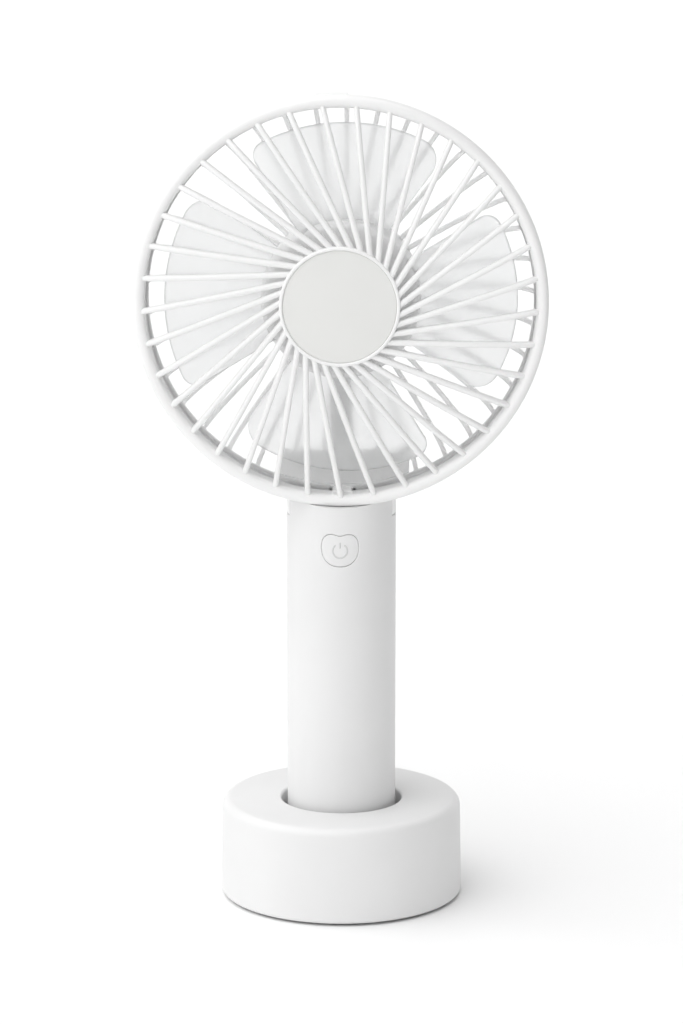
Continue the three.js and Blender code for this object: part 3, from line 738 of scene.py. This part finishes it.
def rear_lip():
    """The lip that plugs into the grille's rim, open at the foot for the snap clip."""
    section = rounded(
        [
            (RIM_R - 3.75, PARTING_Y + 0.6, 0.0),
            (RIM_R - 3.75, PARTING_Y - 2.2, 0.2),
            (RIM_R - 2.75, PARTING_Y - 2.2, 0.2),
            (RIM_R - 2.75, PARTING_Y + 0.6, 0.0),
        ],
        0.2,
        3,
    )
    middle_of_gap = math.pi - CLIP_X / RIM_IN_R
    half_gap = 3.4 / RIM_IN_R
    verts, faces = swept(section, middle_of_gap + half_gap, middle_of_gap - half_gap + TAU, 200)
    return show("housing_lip", verts, faces, thin_bar_white, "handle", 50)


def motor_pod():
    inside = POD_R - 1.6
    floor = POD_BACK - 2.6
    profile = [
        (0, floor),
        (inside, floor, 0.5),
        (inside, 3.2, 0.3),
        (POD_R, 3.2, 0.4),
        (POD_R, POD_BACK, 2.6),
        (0, POD_BACK),
    ]
    return head_piece("motor_pod", rounded(profile, 0.3, 6, closed=False), shade_lifted_housing_white, "handle")


rear_bars = grown(
    "housing_bars",
    cage_bars,
    {
        "Count": SPOKES,
        "Rim Radius": CAGE_R,
        "Rim Station": CAGE_OUT,
        "Middle Radius": CAGE_IN,
        "Middle Station": CAGE_BACK,
        "Squareness": CAGE_POWER,
        "Offset": 0.0,
        "Width at Rim": 1.25,
        "Width at Middle": 1.25,
        "Depth": 1.5,
        "Root Flare": 0.5,
        "First Angle": FIRST_SPOKE + math.radians(-3),
    },
    thin_bar_white,
    "handle",
    60,
)


def cage_section(angle):
    """Radius and station of the rear cage's middle surface, from the rim (0) to the pod (a right angle)."""
    radius = CAGE_IN + (CAGE_R - CAGE_IN) * max(math.cos(angle), 0) ** (2 / CAGE_POWER)
    return radius, CAGE_OUT + (CAGE_BACK - CAGE_OUT) * max(math.sin(angle), 0) ** (2 / CAGE_POWER)


def cage_radius_at(station):
    part = min(max((station - CAGE_OUT) / (CAGE_BACK - CAGE_OUT), 0), 1)
    return cage_section(math.asin(part ** (CAGE_POWER / 2)))[0]


def foot_plate():
    """The plate that fills the foot of the rear cage and follows its shoulder."""
    outer, inner = [], []
    steps = 20
    last = math.acos(((PLATE_EDGE_R - CAGE_IN) / (CAGE_R - CAGE_IN)) ** (CAGE_POWER / 2))
    for i in range(41):
        x = -16.3 + 33.8 * i / 40
        rows = []
        for k in range(steps + 1):
            angle = 0.04 + (last - 0.04) * k / steps
            radius, station = cage_section(angle)
            ahead, behind = cage_section(angle + 0.01), cage_section(max(angle - 0.01, 0))
            along = Vector((ahead[0] - behind[0], ahead[1] - behind[1])).normalized()
            rows.append((radius, station, Vector((along.y, -along.x))))
        for grid, side in ((outer, 0.8), (inner, -0.8)):
            grid.append(
                [
                    (x, y + n.y * side, AXIS_Z - math.sqrt((r + n.x * side) ** 2 - x * x))
                    for r, y, n in rows
                ]
            )
    verts, faces = sheet(outer, inner)
    return show("foot_plate", verts, faces, shade_lifted_housing_white, "handle", 50)


def neck():
    """The neck between the handle and the cage: round, flat in front, sloping off behind."""
    front, foot, deepest = PARTING_Y + 0.3, NECK_Z + 0.3, 9.4
    side = math.asin(front / HANDLE_R)
    arc = [side + (math.pi - 2 * side) * k / 72 for k in range(73)]
    outline = [(HANDLE_R * math.cos(a), HANDLE_R * math.sin(a)) for a in arc]
    half = outline[0][0]
    outline += [(-half + 2 * half * k / 24, front) for k in range(1, 24)]

    def back_limit(z):
        return 15 - (15 - deepest) * min(max((z - 104.5) / 12, 0), 1)

    levels = 14
    verts = []
    count = len(outline)
    for k in range(levels + 1):
        for x, y in outline:
            y_top = min(y, deepest)
            top = AXIS_Z - math.sqrt(cage_radius_at(y_top) ** 2 - x * x)
            z = foot + (top - foot) * k / levels
            verts.append((x, min(y, back_limit(z)), z))
    verts += [(0, 2, foot), (0, 2, AXIS_Z - cage_radius_at(2))]
    faces = bands(levels + 1, count)
    faces += fan(len(verts) - 2, count, 0) + fan(len(verts) - 1, count, levels * count)
    return show("neck", verts, faces, shade_lifted_housing_white, "handle", 40)


STRUT_X, STRUT_FRONT, STRUT_BACK = 2.7, 5.2, 12.5
COVERED_Z = AXIS_Z - 36


def strut_and_tongue():
    """The wire strut, open in front where its cover lies, and the tongue that plugs into the handle."""
    wire = 1.6
    channel = STRUT_FRONT + 3.3
    section = [
        (-STRUT_X, STRUT_FRONT),
        (-wire, STRUT_FRONT),
        (-wire, channel),
        (wire, channel),
        (wire, STRUT_FRONT),
        (STRUT_X, STRUT_FRONT),
        (STRUT_X, STRUT_BACK, 0.6),
        (-STRUT_X, STRUT_BACK, 0.6),
    ]
    upper = prism(
        rounded(section, 0.15, 2), lambda a, b, z: (a, b, z), [(COVERED_Z, 0), (AXIS_Z - POD_R + 1.2, 0)]
    )
    lower = soft_block((-STRUT_X, STRUT_FRONT, AXIS_Z - 48), (STRUT_X, STRUT_BACK, COVERED_Z), 0.4)
    tongue = soft_block((-10, 3.5, BUTTON_Z - 0.6), (10, 5.5, NECK_Z + 2), 0.4)
    verts, faces = joined(upper, lower, tongue)
    return show("wire_strut", verts, faces, shade_lifted_housing_white, "handle", 40)


def wire_cover():
    verts, faces = soft_block(
        (-STRUT_X, STRUT_FRONT - 1.2, COVERED_Z), (STRUT_X, STRUT_FRONT - 0.3, AXIS_Z - POD_R - 0.3), 0.25
    )
    return show("wire_cover_plate", verts, faces, shade_lifted_housing_white, "handle", 40)


for shown in (rear_rim(), rear_lip(), motor_pod(), rear_bars, foot_plate(), neck(), strut_and_tongue()):
    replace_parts(shown, "rear_housing")
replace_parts(wire_cover(), "wire_cover")

for number, sign in ((1, -1), (2, 1)):
    verts, faces = cross_screw((7 * sign, POD_BACK - 1.0, AXIS_Z), ("Y", 1), 1.9, 0.9, 4.8)
    driven = show(f"pod_screw_{number}", verts, faces, plain_steel, "handle", 30)
    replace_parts(driven, f"motor_screw_{number}")

# ------------------------------------------------------------------ fan wheel


def blade_wheel_tree():
    """Blades round a hub: each a sector of a ring with round tip corners that climbs along the axis."""
    numbers = {
        "Root Radius": 19.5,
        "Tip Radius": 45.0,
        "Span": math.radians(68),
        "Climb": 10.0,
        "Thickness": 1.3,
        "Middle Station": -3.2,
        "Leading Corner": 4.0,
        "Trailing Corner": 7.0,
        "Camber": 0.8,
        "First Angle": 0.0,
        "Axis Height": AXIS_Z,
    }
    group, tree, given = new_group("blade wheel", BLADES, numbers)
    plate = tree.add(
        "GeometryNodeMeshCube", None, Size=(1, 1, 1), Vertices_X=72, Vertices_Y=40, Vertices_Z=2
    ).outputs["Mesh"]
    spot = tree.add("ShaderNodeSeparateXYZ", None, Vector=tree.add("GeometryNodeInputPosition"))
    across = tree.math("SINE", tree.math("MULTIPLY", spot.outputs["X"], math.pi))
    outwards = tree.math("SINE", tree.math("MULTIPLY", tree.math("ADD", spot.outputs["Y"], 0.5), math.pi / 2))
    half_span = tree.math("MULTIPLY", given["Span"], 0.5)
    arm = tree.math("MULTIPLY", half_span, given["Tip Radius"])
    from_side = tree.math("MULTIPLY", tree.math("SUBTRACT", 1.0, tree.math("ABSOLUTE", across)), arm)
    is_trailing = tree.math("GREATER_THAN", across, 0.0)
    corner_gap = tree.math("SUBTRACT", given["Trailing Corner"], given["Leading Corner"])
    corner = tree.math("MULTIPLY_ADD", is_trailing, corner_gap, given["Leading Corner"])
    in_corner = tree.math("MAXIMUM", tree.math("SUBTRACT", corner, from_side), 0.0)
    inside = tree.math("MULTIPLY", in_corner, in_corner)
    squares = tree.math("SUBTRACT", tree.math("MULTIPLY", corner, corner), inside)
    drop = tree.math("SUBTRACT", corner, tree.math("SQRT", tree.math("MAXIMUM", squares, 0.0)))
    reach_out = tree.math("SUBTRACT", tree.math("SUBTRACT", given["Tip Radius"], drop), given["Root Radius"])
    radius = tree.math("MULTIPLY_ADD", reach_out, outwards, given["Root Radius"])
    from_tip = tree.math("MULTIPLY", reach_out, tree.math("SUBTRACT", 1.0, outwards))
    from_edge = tree.math("MINIMUM", from_tip, from_side)
    thin = tree.math("MAXIMUM", tree.math("SUBTRACT", 1.0, tree.math("DIVIDE", from_edge, 0.65)), 0.0)
    roundness = tree.math("SQRT", tree.math("SUBTRACT", 1.0, tree.math("MULTIPLY", thin, thin)))
    half_thick = tree.math("MULTIPLY", tree.math("MULTIPLY", given["Thickness"], roundness), spot.outputs["Z"])
    climb = tree.math("MULTIPLY", tree.math("MULTIPLY", given["Climb"], 0.5), across)
    bow = tree.math("MULTIPLY", given["Camber"], tree.math("SUBTRACT", 1.0, tree.math("MULTIPLY", across, across)))
    station = tree.math("ADD", tree.math("SUBTRACT", climb, bow), given["Middle Station"])
    station = tree.math("SUBTRACT", station, half_thick)
    angle = tree.math("MULTIPLY", half_span, across)
    place = tree.xyz(
        tree.math("MULTIPLY", radius, tree.math("SINE", angle)),
        station,
        tree.math("MULTIPLY", radius, tree.math("COSINE", angle)),
    )
    # painted shade: marks a 0.5 mm band along each blade's edges, where the shader darkens the blade's colour
    painted_edge_shade = tree.math("MAXIMUM", tree.math("SUBTRACT", 1.0, tree.math("DIVIDE", from_edge, 0.5)), 0.0)
    marked = tree.add(
        "GeometryNodeStoreNamedAttribute",
        {"data_type": "FLOAT", "domain": "POINT"},
        Geometry=plate,
        Name="painted edge shade",
        Value=painted_edge_shade,
    ).outputs[0]
    shaped = tree.add("GeometryNodeSetPosition", None, Geometry=marked, Position=place).outputs[0]
    repeat_round_axis(tree, given, shaped, 0.0)
    return group


HUB_R = 20.4
HUB_FRONT = low("impeller").y / MM
HUB_BACK = 2.6


def wheel_hub():
    wall = HUB_R - 1.6
    profile = [
        (0, HUB_FRONT),
        (HUB_R, HUB_FRONT, 2.2),
        (HUB_R, HUB_BACK, 0.3),
        (wall, HUB_BACK, 0.3),
        (wall, HUB_FRONT + 1.6, 1.0),
        (3.2, HUB_FRONT + 1.6, 0.6),
        (3.2, -4.6, 0.3),
        (1.3, -4.6, 0.1),
        (1.3, HUB_FRONT + 0.8, 0.1),
        (0, HUB_FRONT + 0.8),
    ]
    return head_piece("wheel_hub", rounded(profile, 0.3, 5, closed=False), hub_white, "fan_wheel")


wheel_blades = grown(
    "wheel_blades",
    blade_wheel_tree(),
    {"Count": BLADES, "Tip Radius": 45.2, "First Angle": math.radians(2.5)},
    blade_frost,
    "fan_wheel",
    60,
)
for shown in (wheel_hub(), wheel_blades):
    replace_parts(shown, "impeller")

# ------------------------------------------------------------------ stand


def stand_cover():
    bore = 15.75
    wall = 2.2
    floor = 4.8
    profile = [
        (0, floor - 1.5),
        (bore + 1.8, floor - 1.5, 0.3),
        (bore + 1.8, DOCK_H - wall, 0.6),
        (DOCK_R - 0.5 - wall, DOCK_H - wall, 0.8),
        (DOCK_R - wall, DOCK_FOOT, 0.2),
        (DOCK_R, DOCK_FOOT, 1.6),
        (DOCK_R - 0.5, DOCK_H, 2.3),
        (bore, DOCK_H, 0.7),
        (bore, floor, 0.4),
        (0, floor),
    ]
    profile = rounded(profile, 0.3, 8, closed=False)
    return stand_piece("stand_cover", profile, white_shell, "stand", 256)


def stand_plate(name, node, finish):
    """A flat round plate with softened edges, as wide and thick as its node."""
    edge = high(node).x / MM
    foot, top = low(node).z / MM, high(node).z / MM
    profile = rounded([(0, foot), (edge, foot, 0.3), (edge, top, 0.2), (0, top)], 0.2, 3, closed=False)
    return stand_piece(name, profile, finish, "stand", 128)


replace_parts(stand_cover(), "dock_shell")
grip_pad = stand_plate("grip_pad", "dock_grip_pad", rubber)
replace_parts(grip_pad, "dock_grip_pad")
base_plate = stand_plate("base_plate", "dock_base_plate", black_plastic)
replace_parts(base_plate, "dock_base_plate")

# ------------------------------------------------------------------ handle


def heart(width, top, bottom, notch, count=96):
    """The button's outline about its centre: a soft heart with a shallow notch at the top."""
    w = width
    curves = [
        [(0, bottom), (w * 0.62, bottom), (w, -w * 0.5), (w, w * 0.16)],
        [(w, w * 0.16), (w, w * 0.66), (w * 0.78, top), (w * 0.45, top)],
        [(w * 0.45, top), (w * 0.26, top), (w * 0.16, notch), (0, notch)],
    ]
    right = []
    for p in curves:
        for k in range(count // 6):
            t = k / (count // 6)
            blend = [(1 - t) ** 3, 3 * t * (1 - t) ** 2, 3 * t * t * (1 - t), t**3]
            right.append(tuple(sum(c * q[i] for c, q in zip(blend, p)) for i in (0, 1)))
    return right + [(0, notch)] + [(-x, z) for x, z in reversed(right[1:])]


def stadium(width, height, count=16):
    """A slot with round ends about its centre."""
    r = height / 2
    half = width / 2 - r
    angles = [math.pi * (k / count - 0.5) for k in range(count + 1)]
    right = [(half + r * math.cos(a), r * math.sin(a)) for a in angles]
    return right + [(-x, -z) for x, z in right]


def reach(outline, angle):
    """How far the outline is from its centre in one direction."""
    ray = Vector((math.cos(angle), math.sin(angle)))
    best = 0.0
    for p, q in zip(outline, outline[1:] + outline[:1]):
        p, q = Vector(p), Vector(q)
        edge = q - p
        cross = ray.x * edge.y - ray.y * edge.x
        if abs(cross) < 1e-12:
            continue
        along = (p.x * edge.y - p.y * edge.x) / cross
        part = (p.x * ray.y - p.y * ray.x) / cross
        if along > 0 and -1e-9 <= part <= 1 + 1e-9:
            best = max(best, along)
    return best


def on_round(x, z, radius, back):
    """A point on the handle's round face, in front of it or behind it, from its place seen square on."""
    y = math.sqrt(max(radius**2 - x * x, 0))
    return (x, y if back else -y, z)


def spaced(start, stop, step, marks=()):
    """Evenly spaced values from start to stop that also pass through the marks."""
    stops = sorted({start, stop, *[m for m in marks if start < m < stop]})
    values = []
    for a, b in zip(stops, stops[1:]):
        count = max(1, round((b - a) / step))
        values += [a + (b - a) * k / count for k in range(count)]
    return values + [stops[-1]]


def half_shell(name, back, foot, top, crown, holes):
    """One half of the handle's tube. holes are (x, z, outline, window, lip): the window is the half
    size of the field around the hole. crown gives the top edge's height, or None for a level top."""
    limit = math.radians(90) - 0.15 / HANDLE_R
    fields = []
    for x, z, outline, window, lip in holes:
        a0, a1 = math.asin((x - window[0]) / HANDLE_R), math.asin((x + window[0]) / HANDLE_R)
        fields.append((x, z, outline, lip, a0, a1, z - window[1], z + window[1]))
    column_marks = [v for f in fields for v in f[4:6]]
    seam = math.asin(math.sqrt(HANDLE_R**2 - (PARTING_Y + 0.15) ** 2) / HANDLE_R)
    if crown:
        column_marks += [-seam, seam]
    columns = spaced(-limit, limit, math.radians(2.5), column_marks)
    rows = spaced(foot, top, 2.2, [v for f in fields for v in f[6:8]])
    crown_rows = 4 if crown else 0
    grid, places, faces = {}, [], []

    def corner(i, j):
        if (i, j) not in grid:
            angle = columns[i]
            if j < len(rows):
                z = rows[j]
            else:
                z = top + (crown(HANDLE_R * math.sin(angle)) - top) * (j - len(rows) + 1) / crown_rows
            grid[(i, j)] = len(places)
            places.append((angle, z, 0.0))
        return grid[(i, j)]

    def covered(i, j):
        a, z = (columns[i] + columns[i + 1]) / 2, (rows[j] + rows[j + 1]) / 2
        return any(f[4] < a < f[5] and f[6] < z < f[7] for f in fields)

    for i in range(len(columns) - 1):
        for j in range(len(rows) - 1 + crown_rows):
            if j >= len(rows) - 1:
                if abs((columns[i] + columns[i + 1]) / 2) > seam:
                    continue
            elif covered(i, j):
                continue
            faces.append([corner(i, j), corner(i + 1, j), corner(i + 1, j + 1), corner(i, j + 1)])

    for x, z, outline, lip, a0, a1, z0, z1 in fields:
        i0, i1 = columns.index(a0), columns.index(a1)
        j0, j1 = rows.index(z0), rows.index(z1)
        loop = [(i, j0) for i in range(i0, i1)] + [(i1, j) for j in range(j0, j1)]
        loop += [(i, j1) for i in range(i1, i0, -1)] + [(i0, j) for j in range(j1, j0, -1)]
        ring = [corner(i, j) for i, j in loop]
        spots = [(HANDLE_R * math.sin(places[v][0]) - x, places[v][1] - z) for v in ring]
        steps = [(0.66, 0, 0), (0.33, 0, 0), (0.12, 0, 0)]
        for k in range(5):
            a = math.pi / 2 * k / 4
            steps.append((0, lip * (1 - math.sin(a)), lip * (1 - math.cos(a))))
        for outwards, proud, sunk in steps:
            fresh = []
            for sx, sz in spots:
                angle = math.atan2(sz, sx)
                edge = reach(outline, angle) + (proud if outwards == 0 else lip)
                far = math.hypot(sx, sz)
                r = edge + (far - edge) * outwards
                px = x + r * math.cos(angle)
                fresh.append(len(places))
                places.append((math.asin(px / HANDLE_R), z + r * math.sin(angle), sunk))
            for k in range(len(ring)):
                n = (k + 1) % len(ring)
                faces.append([ring[k], ring[n], fresh[n], fresh[k]])
            ring = fresh

    sign = 1 if back else -1
    verts = []
    for inner in (False, True):
        for angle, z, sunk in places:
            r = HANDLE_R - HANDLE_WALL if inner else HANDLE_R - sunk
            verts.append((r * math.sin(angle), sign * r * math.cos(angle), z))
    count = len(places)
    used = {}
    for face in faces:
        for v, w in zip(face, face[1:] + face[:1]):
            used.setdefault(frozenset((v, w)), []).append((v, w))
    walls = [[a, b, b + count, a + count] for pairs in used.values() if len(pairs) == 1 for a, b in pairs]
    faces += [[v + count for v in reversed(face)] for face in faces] + walls
    return show(name, verts, faces, white_shell, "handle", 40)


def saddle(x):
    """Height of the rim's underside above the desk, where the front shell meets it."""
    return AXIS_Z - math.sqrt((RIM_R + 0.04) ** 2 - x * x)


SCREW_X, SCREW_Z = 7.9, BUTTON_Z + 3.2
circle = [(2.2 * math.cos(TAU * k / 32), 2.2 * math.sin(TAU * k / 32)) for k in range(32)]
front_shell = half_shell(
    "handle_front", False, SHELL_FOOT, NECK_Z, saddle,
    [(0, BUTTON_Z, heart(4.9, 4.36, -4.34, 3.9), (7.0, 6.4), 0.14)],
)
rear_shell = half_shell(
    "handle_back", True, SHELL_FOOT, NECK_Z, None,
    [
        (0, PORT_Z, stadium(9.6, 3.8), (6.4, 3.5), 0.25),
        (-SCREW_X, SCREW_Z, circle, (3.1, 3.1), 0.25),
        (SCREW_X, SCREW_Z, circle, (3.1, 3.1), 0.25),
    ],
)


def shell_lid():
    """The front shell's top, hollowed to the rim that rests above it."""
    depth = PARTING_Y + 0.15
    half = math.sqrt((HANDLE_R - 0.02) ** 2 - depth**2)
    outer, inner = [], []
    for i in range(41):
        x = half * math.sin(math.pi / 2 * (i / 20 - 1))
        front = -math.sqrt((HANDLE_R - 0.02) ** 2 - x * x)
        row = [(x, front + (depth - front) * k / 8) for k in range(9)]
        outer.append([(a, b, saddle(a)) for a, b in row])
        inner.append([(a, b, saddle(a) - 1.3) for a, b in row])
    verts, faces = sheet(outer, inner)
    return show("handle_top", verts, faces, white_shell, "handle", 40)


def seam_lips():
    """The thin lips inside the front shell that close the seams on both sides."""
    inner = HANDLE_R - HANDLE_WALL
    low_z, high_z = SHELL_FOOT + 2, NECK_Z - 1.5
    right = soft_block((inner - 0.9, -1.6, low_z), (inner - 0.1, 1.6, high_z), 0.2)
    left = soft_block((-inner + 0.1, -1.6, low_z), (-inner + 0.9, 1.6, high_z), 0.2)
    verts, faces = joined(right, left)
    return show("seam_lips", verts, faces, white_shell, "handle", 40)


for shown in (front_shell, shell_lid(), seam_lips()):
    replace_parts(shown, "handle_front_shell")
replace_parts(rear_shell, "handle_rear_shell")


def end_cap():
    foot = low("handle_end_cap").z / MM
    shoulder = SHELL_FOOT - 0.3
    inside = HANDLE_R - HANDLE_WALL - 0.3
    profile = [
        (0, foot),
        (HANDLE_R, foot, 1.4),
        (HANDLE_R, shoulder, 0.15),
        (inside, shoulder, 0.0),
        (inside, 12, 0.3),
        (9, 12, 0.3),
        (9, 15, 0.3),
        (0, 15),
    ]
    return stand_piece("end_cap", rounded(profile, 0.2, 5, closed=False), white_shell, "handle", 128)


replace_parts(end_cap(), "handle_end_cap")


def button():
    """The button's face follows the handle's round, with a soft edge, and its skirt runs inside."""
    half_width, edge = 4.76, 0.22
    outline = heart(half_width, 4.22, -4.2, 3.78)
    verts = [on_round(0, BUTTON_Z, HANDLE_R, False)]
    count = len(outline)
    loops = [(0.1 * k, 0.0) for k in range(1, 9)]
    for k in range(6):
        a = math.pi / 2 * k / 5
        loops.append((1 - edge * (1 - math.sin(a)) / half_width, edge * (1 - math.cos(a))))
    loops.append((1.0, 3.2))
    for scale, sunk in loops:
        for x, z in outline:
            verts.append(on_round(x * scale, BUTTON_Z + z * scale, HANDLE_R - sunk, False))
    faces = fan(0, count, 1) + bands(len(loops), count, 1) + ends(len(loops), count, 1)[1:]
    return show("button_face", verts, faces, white_shell, "button", 40)


def power_sign():
    """A generic power sign in low relief: an open ring and a short bar."""
    angles = [math.radians(34 + 292 * k / 40) for k in range(41)]
    ring = [(1.88 * math.sin(a), 1.88 * math.cos(a)) for a in angles]
    bar = [(0.0, 0.55 + 1.7 * k / 8) for k in range(9)]
    parts = []
    for path in (ring, bar):
        verts = []
        for i, here in enumerate(path):
            ahead = Vector(path[min(i + 1, len(path) - 1)]) - Vector(path[max(i - 1, 0)])
            side = Vector((-ahead.y, ahead.x)).normalized()
            end = 0.35 if i in (0, len(path) - 1) else 1.0
            for k in range(7):
                a = math.pi * k / 6
                spot = Vector(here) - side * math.cos(a) * 0.25 * end
                rise = 0.16 * math.sin(a) * end - 0.05
                verts.append(on_round(spot.x, BUTTON_Z + spot.y, HANDLE_R + rise, False))
        parts.append((verts, bands(len(path), 7) + ends(len(path), 7)))
    verts, faces = joined(*parts)
    return show("button_sign", verts, faces, sign_grey, "button", 60)


for number, sign in ((1, -1), (2, 1)):
    verts, faces = cross_screw((SCREW_X * sign, 7.7, SCREW_Z), ("Y", 1), 1.9, 1.2, 11)
    driven = show(f"shell_screw_{number}", verts, faces, plain_steel, "handle", 30)
    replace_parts(driven, f"neck_screw_{number}")

for shown in (button(), power_sign()):
    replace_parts(shown, "power_button")


def charging_inlet():
    """The metal shell of the inlet, with its contact tongue inside."""
    back = high("charging_socket").y / MM
    front = low("charging_socket").y / MM
    outer, inner = stadium(8.9, 3.1), stadium(8.3, 2.5)
    count = len(outer)
    rings = [
        (outer, front),
        (outer, back - 0.15),
        (stadium(8.7, 2.9), back),
        (stadium(8.5, 2.7), back),
        (inner, back - 0.15),
        (inner, back - 6.5),
    ]
    verts = [(x, y, PORT_Z + z) for outline, y in rings for x, z in outline]
    faces = bands(len(rings), count) + ends(len(rings), count)
    tongue = soft_block((-3.3, back - 6.6, PORT_Z - 0.35), (3.3, back - 0.7, PORT_Z + 0.35), 0.12)
    verts, faces = joined((verts, faces), tongue)
    return show("charging_inlet", verts, faces, plain_steel, "handle", 40)


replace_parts(charging_inlet(), "charging_socket")

# ------------------------------------------------------------------ studio


def studio():
    """A wide pale floor that curves up far away all round, soft lights, and a black card on the right."""
    sides = 96
    flat, bend = 3.5, 1.5
    rows = [(0.4, 0.0), (1.5, 0.0), (flat, 0.0)]
    for k in range(1, 13):
        a = math.pi / 2 * k / 12
        rows.append((flat + bend * math.sin(a), bend - bend * math.cos(a)))
    verts = [(0, 0, 0)]
    for r, z in rows:
        verts += [(r * math.cos(TAU * k / sides), r * math.sin(TAU * k / sides), z) for k in range(sides)]
    upwards = [face[::-1] for face in bands(len(rows), sides, 1)]
    mesh = bpy.data.meshes.new("studio_floor")
    mesh.from_pydata(verts, [], fan(0, sides, 1) + upwards)
    mesh.shade_smooth()
    floor = bpy.data.objects.new("studio_floor", mesh)
    bpy.context.scene.collection.objects.link(floor)
    paper, tree, shader, place = finish_tree("studio_paper")
    tree.feed(shader.inputs["Base Color"], tone(tree, place, 3, (0.93, 0.93, 0.93), (0.94, 0.94, 0.94)))
    shader.inputs["Roughness"].default_value = 0.5
    mesh.materials.append(paper)

    def soft_sun(name, turn, height, width, strength):
        """A distant soft light: turn is measured from the front towards the left."""
        lamp = bpy.data.lights.new(name, "SUN")
        lamp.angle = math.radians(width)
        lamp.energy = strength
        holder = bpy.data.objects.new(name, lamp)
        bpy.context.scene.collection.objects.link(holder)
        turn, height = math.radians(turn), math.radians(height)
        level = math.cos(height)
        towards = Vector((-math.sin(turn) * level, -math.cos(turn) * level, math.sin(height)))
        holder.rotation_euler = towards.to_track_quat("Z", "Y").to_euler()

    soft_sun("key_light", 58, 50, 84, 2.0)
    soft_sun("top_light", 160, 76, 100, 1.08)
    soft_sun("front_fill", 6, 12, 40, 0.3)
    card = bpy.data.meshes.new("black_card")
    near, far, low_edge, high_edge = (0.44, -0.33), (0.5, 0.22), 0.07, 0.36
    corners = [(*near, low_edge), (*far, low_edge), (*far, high_edge), (*near, high_edge)]
    card.from_pydata(corners, [], [[0, 1, 2, 3]])
    cloth, tree, shader, place = finish_tree("black_card_cloth")
    tree.feed(shader.inputs["Base Color"], tone(tree, place, 40, (0.015, 0.015, 0.015), (0.025, 0.025, 0.025)))
    shader.inputs["Roughness"].default_value = 0.9
    card.materials.append(cloth)
    screen = bpy.data.objects.new("black_card", card)
    screen.visible_camera = False
    bpy.context.scene.collection.objects.link(screen)

    world = bpy.data.worlds.new("studio_air")
    world.use_nodes = True
    world.node_tree.nodes["Background"].inputs["Color"].default_value = (1, 1, 1, 1)
    world.node_tree.nodes["Background"].inputs["Strength"].default_value = 0.31
    bpy.context.scene.world = world
    bpy.context.scene.view_settings.view_transform = "Standard"


def camera():
    """The view: a long lens, a little to the right and above, looking slightly down."""
    lens = bpy.data.cameras.new("view_camera")
    lens.sensor_fit = "HORIZONTAL"
    lens.sensor_width = 36
    lens.lens = 233.7
    lens.clip_start = 0.05
    holder = bpy.data.objects.new("view_camera", lens)
    bpy.context.scene.collection.objects.link(holder)
    holder.location = (0.0304, -1.1191, 0.3656)
    holder.rotation_euler = (math.radians(90 - 13.227), 0, math.radians(1.555))
    bpy.context.scene.camera = holder


camera()
studio()
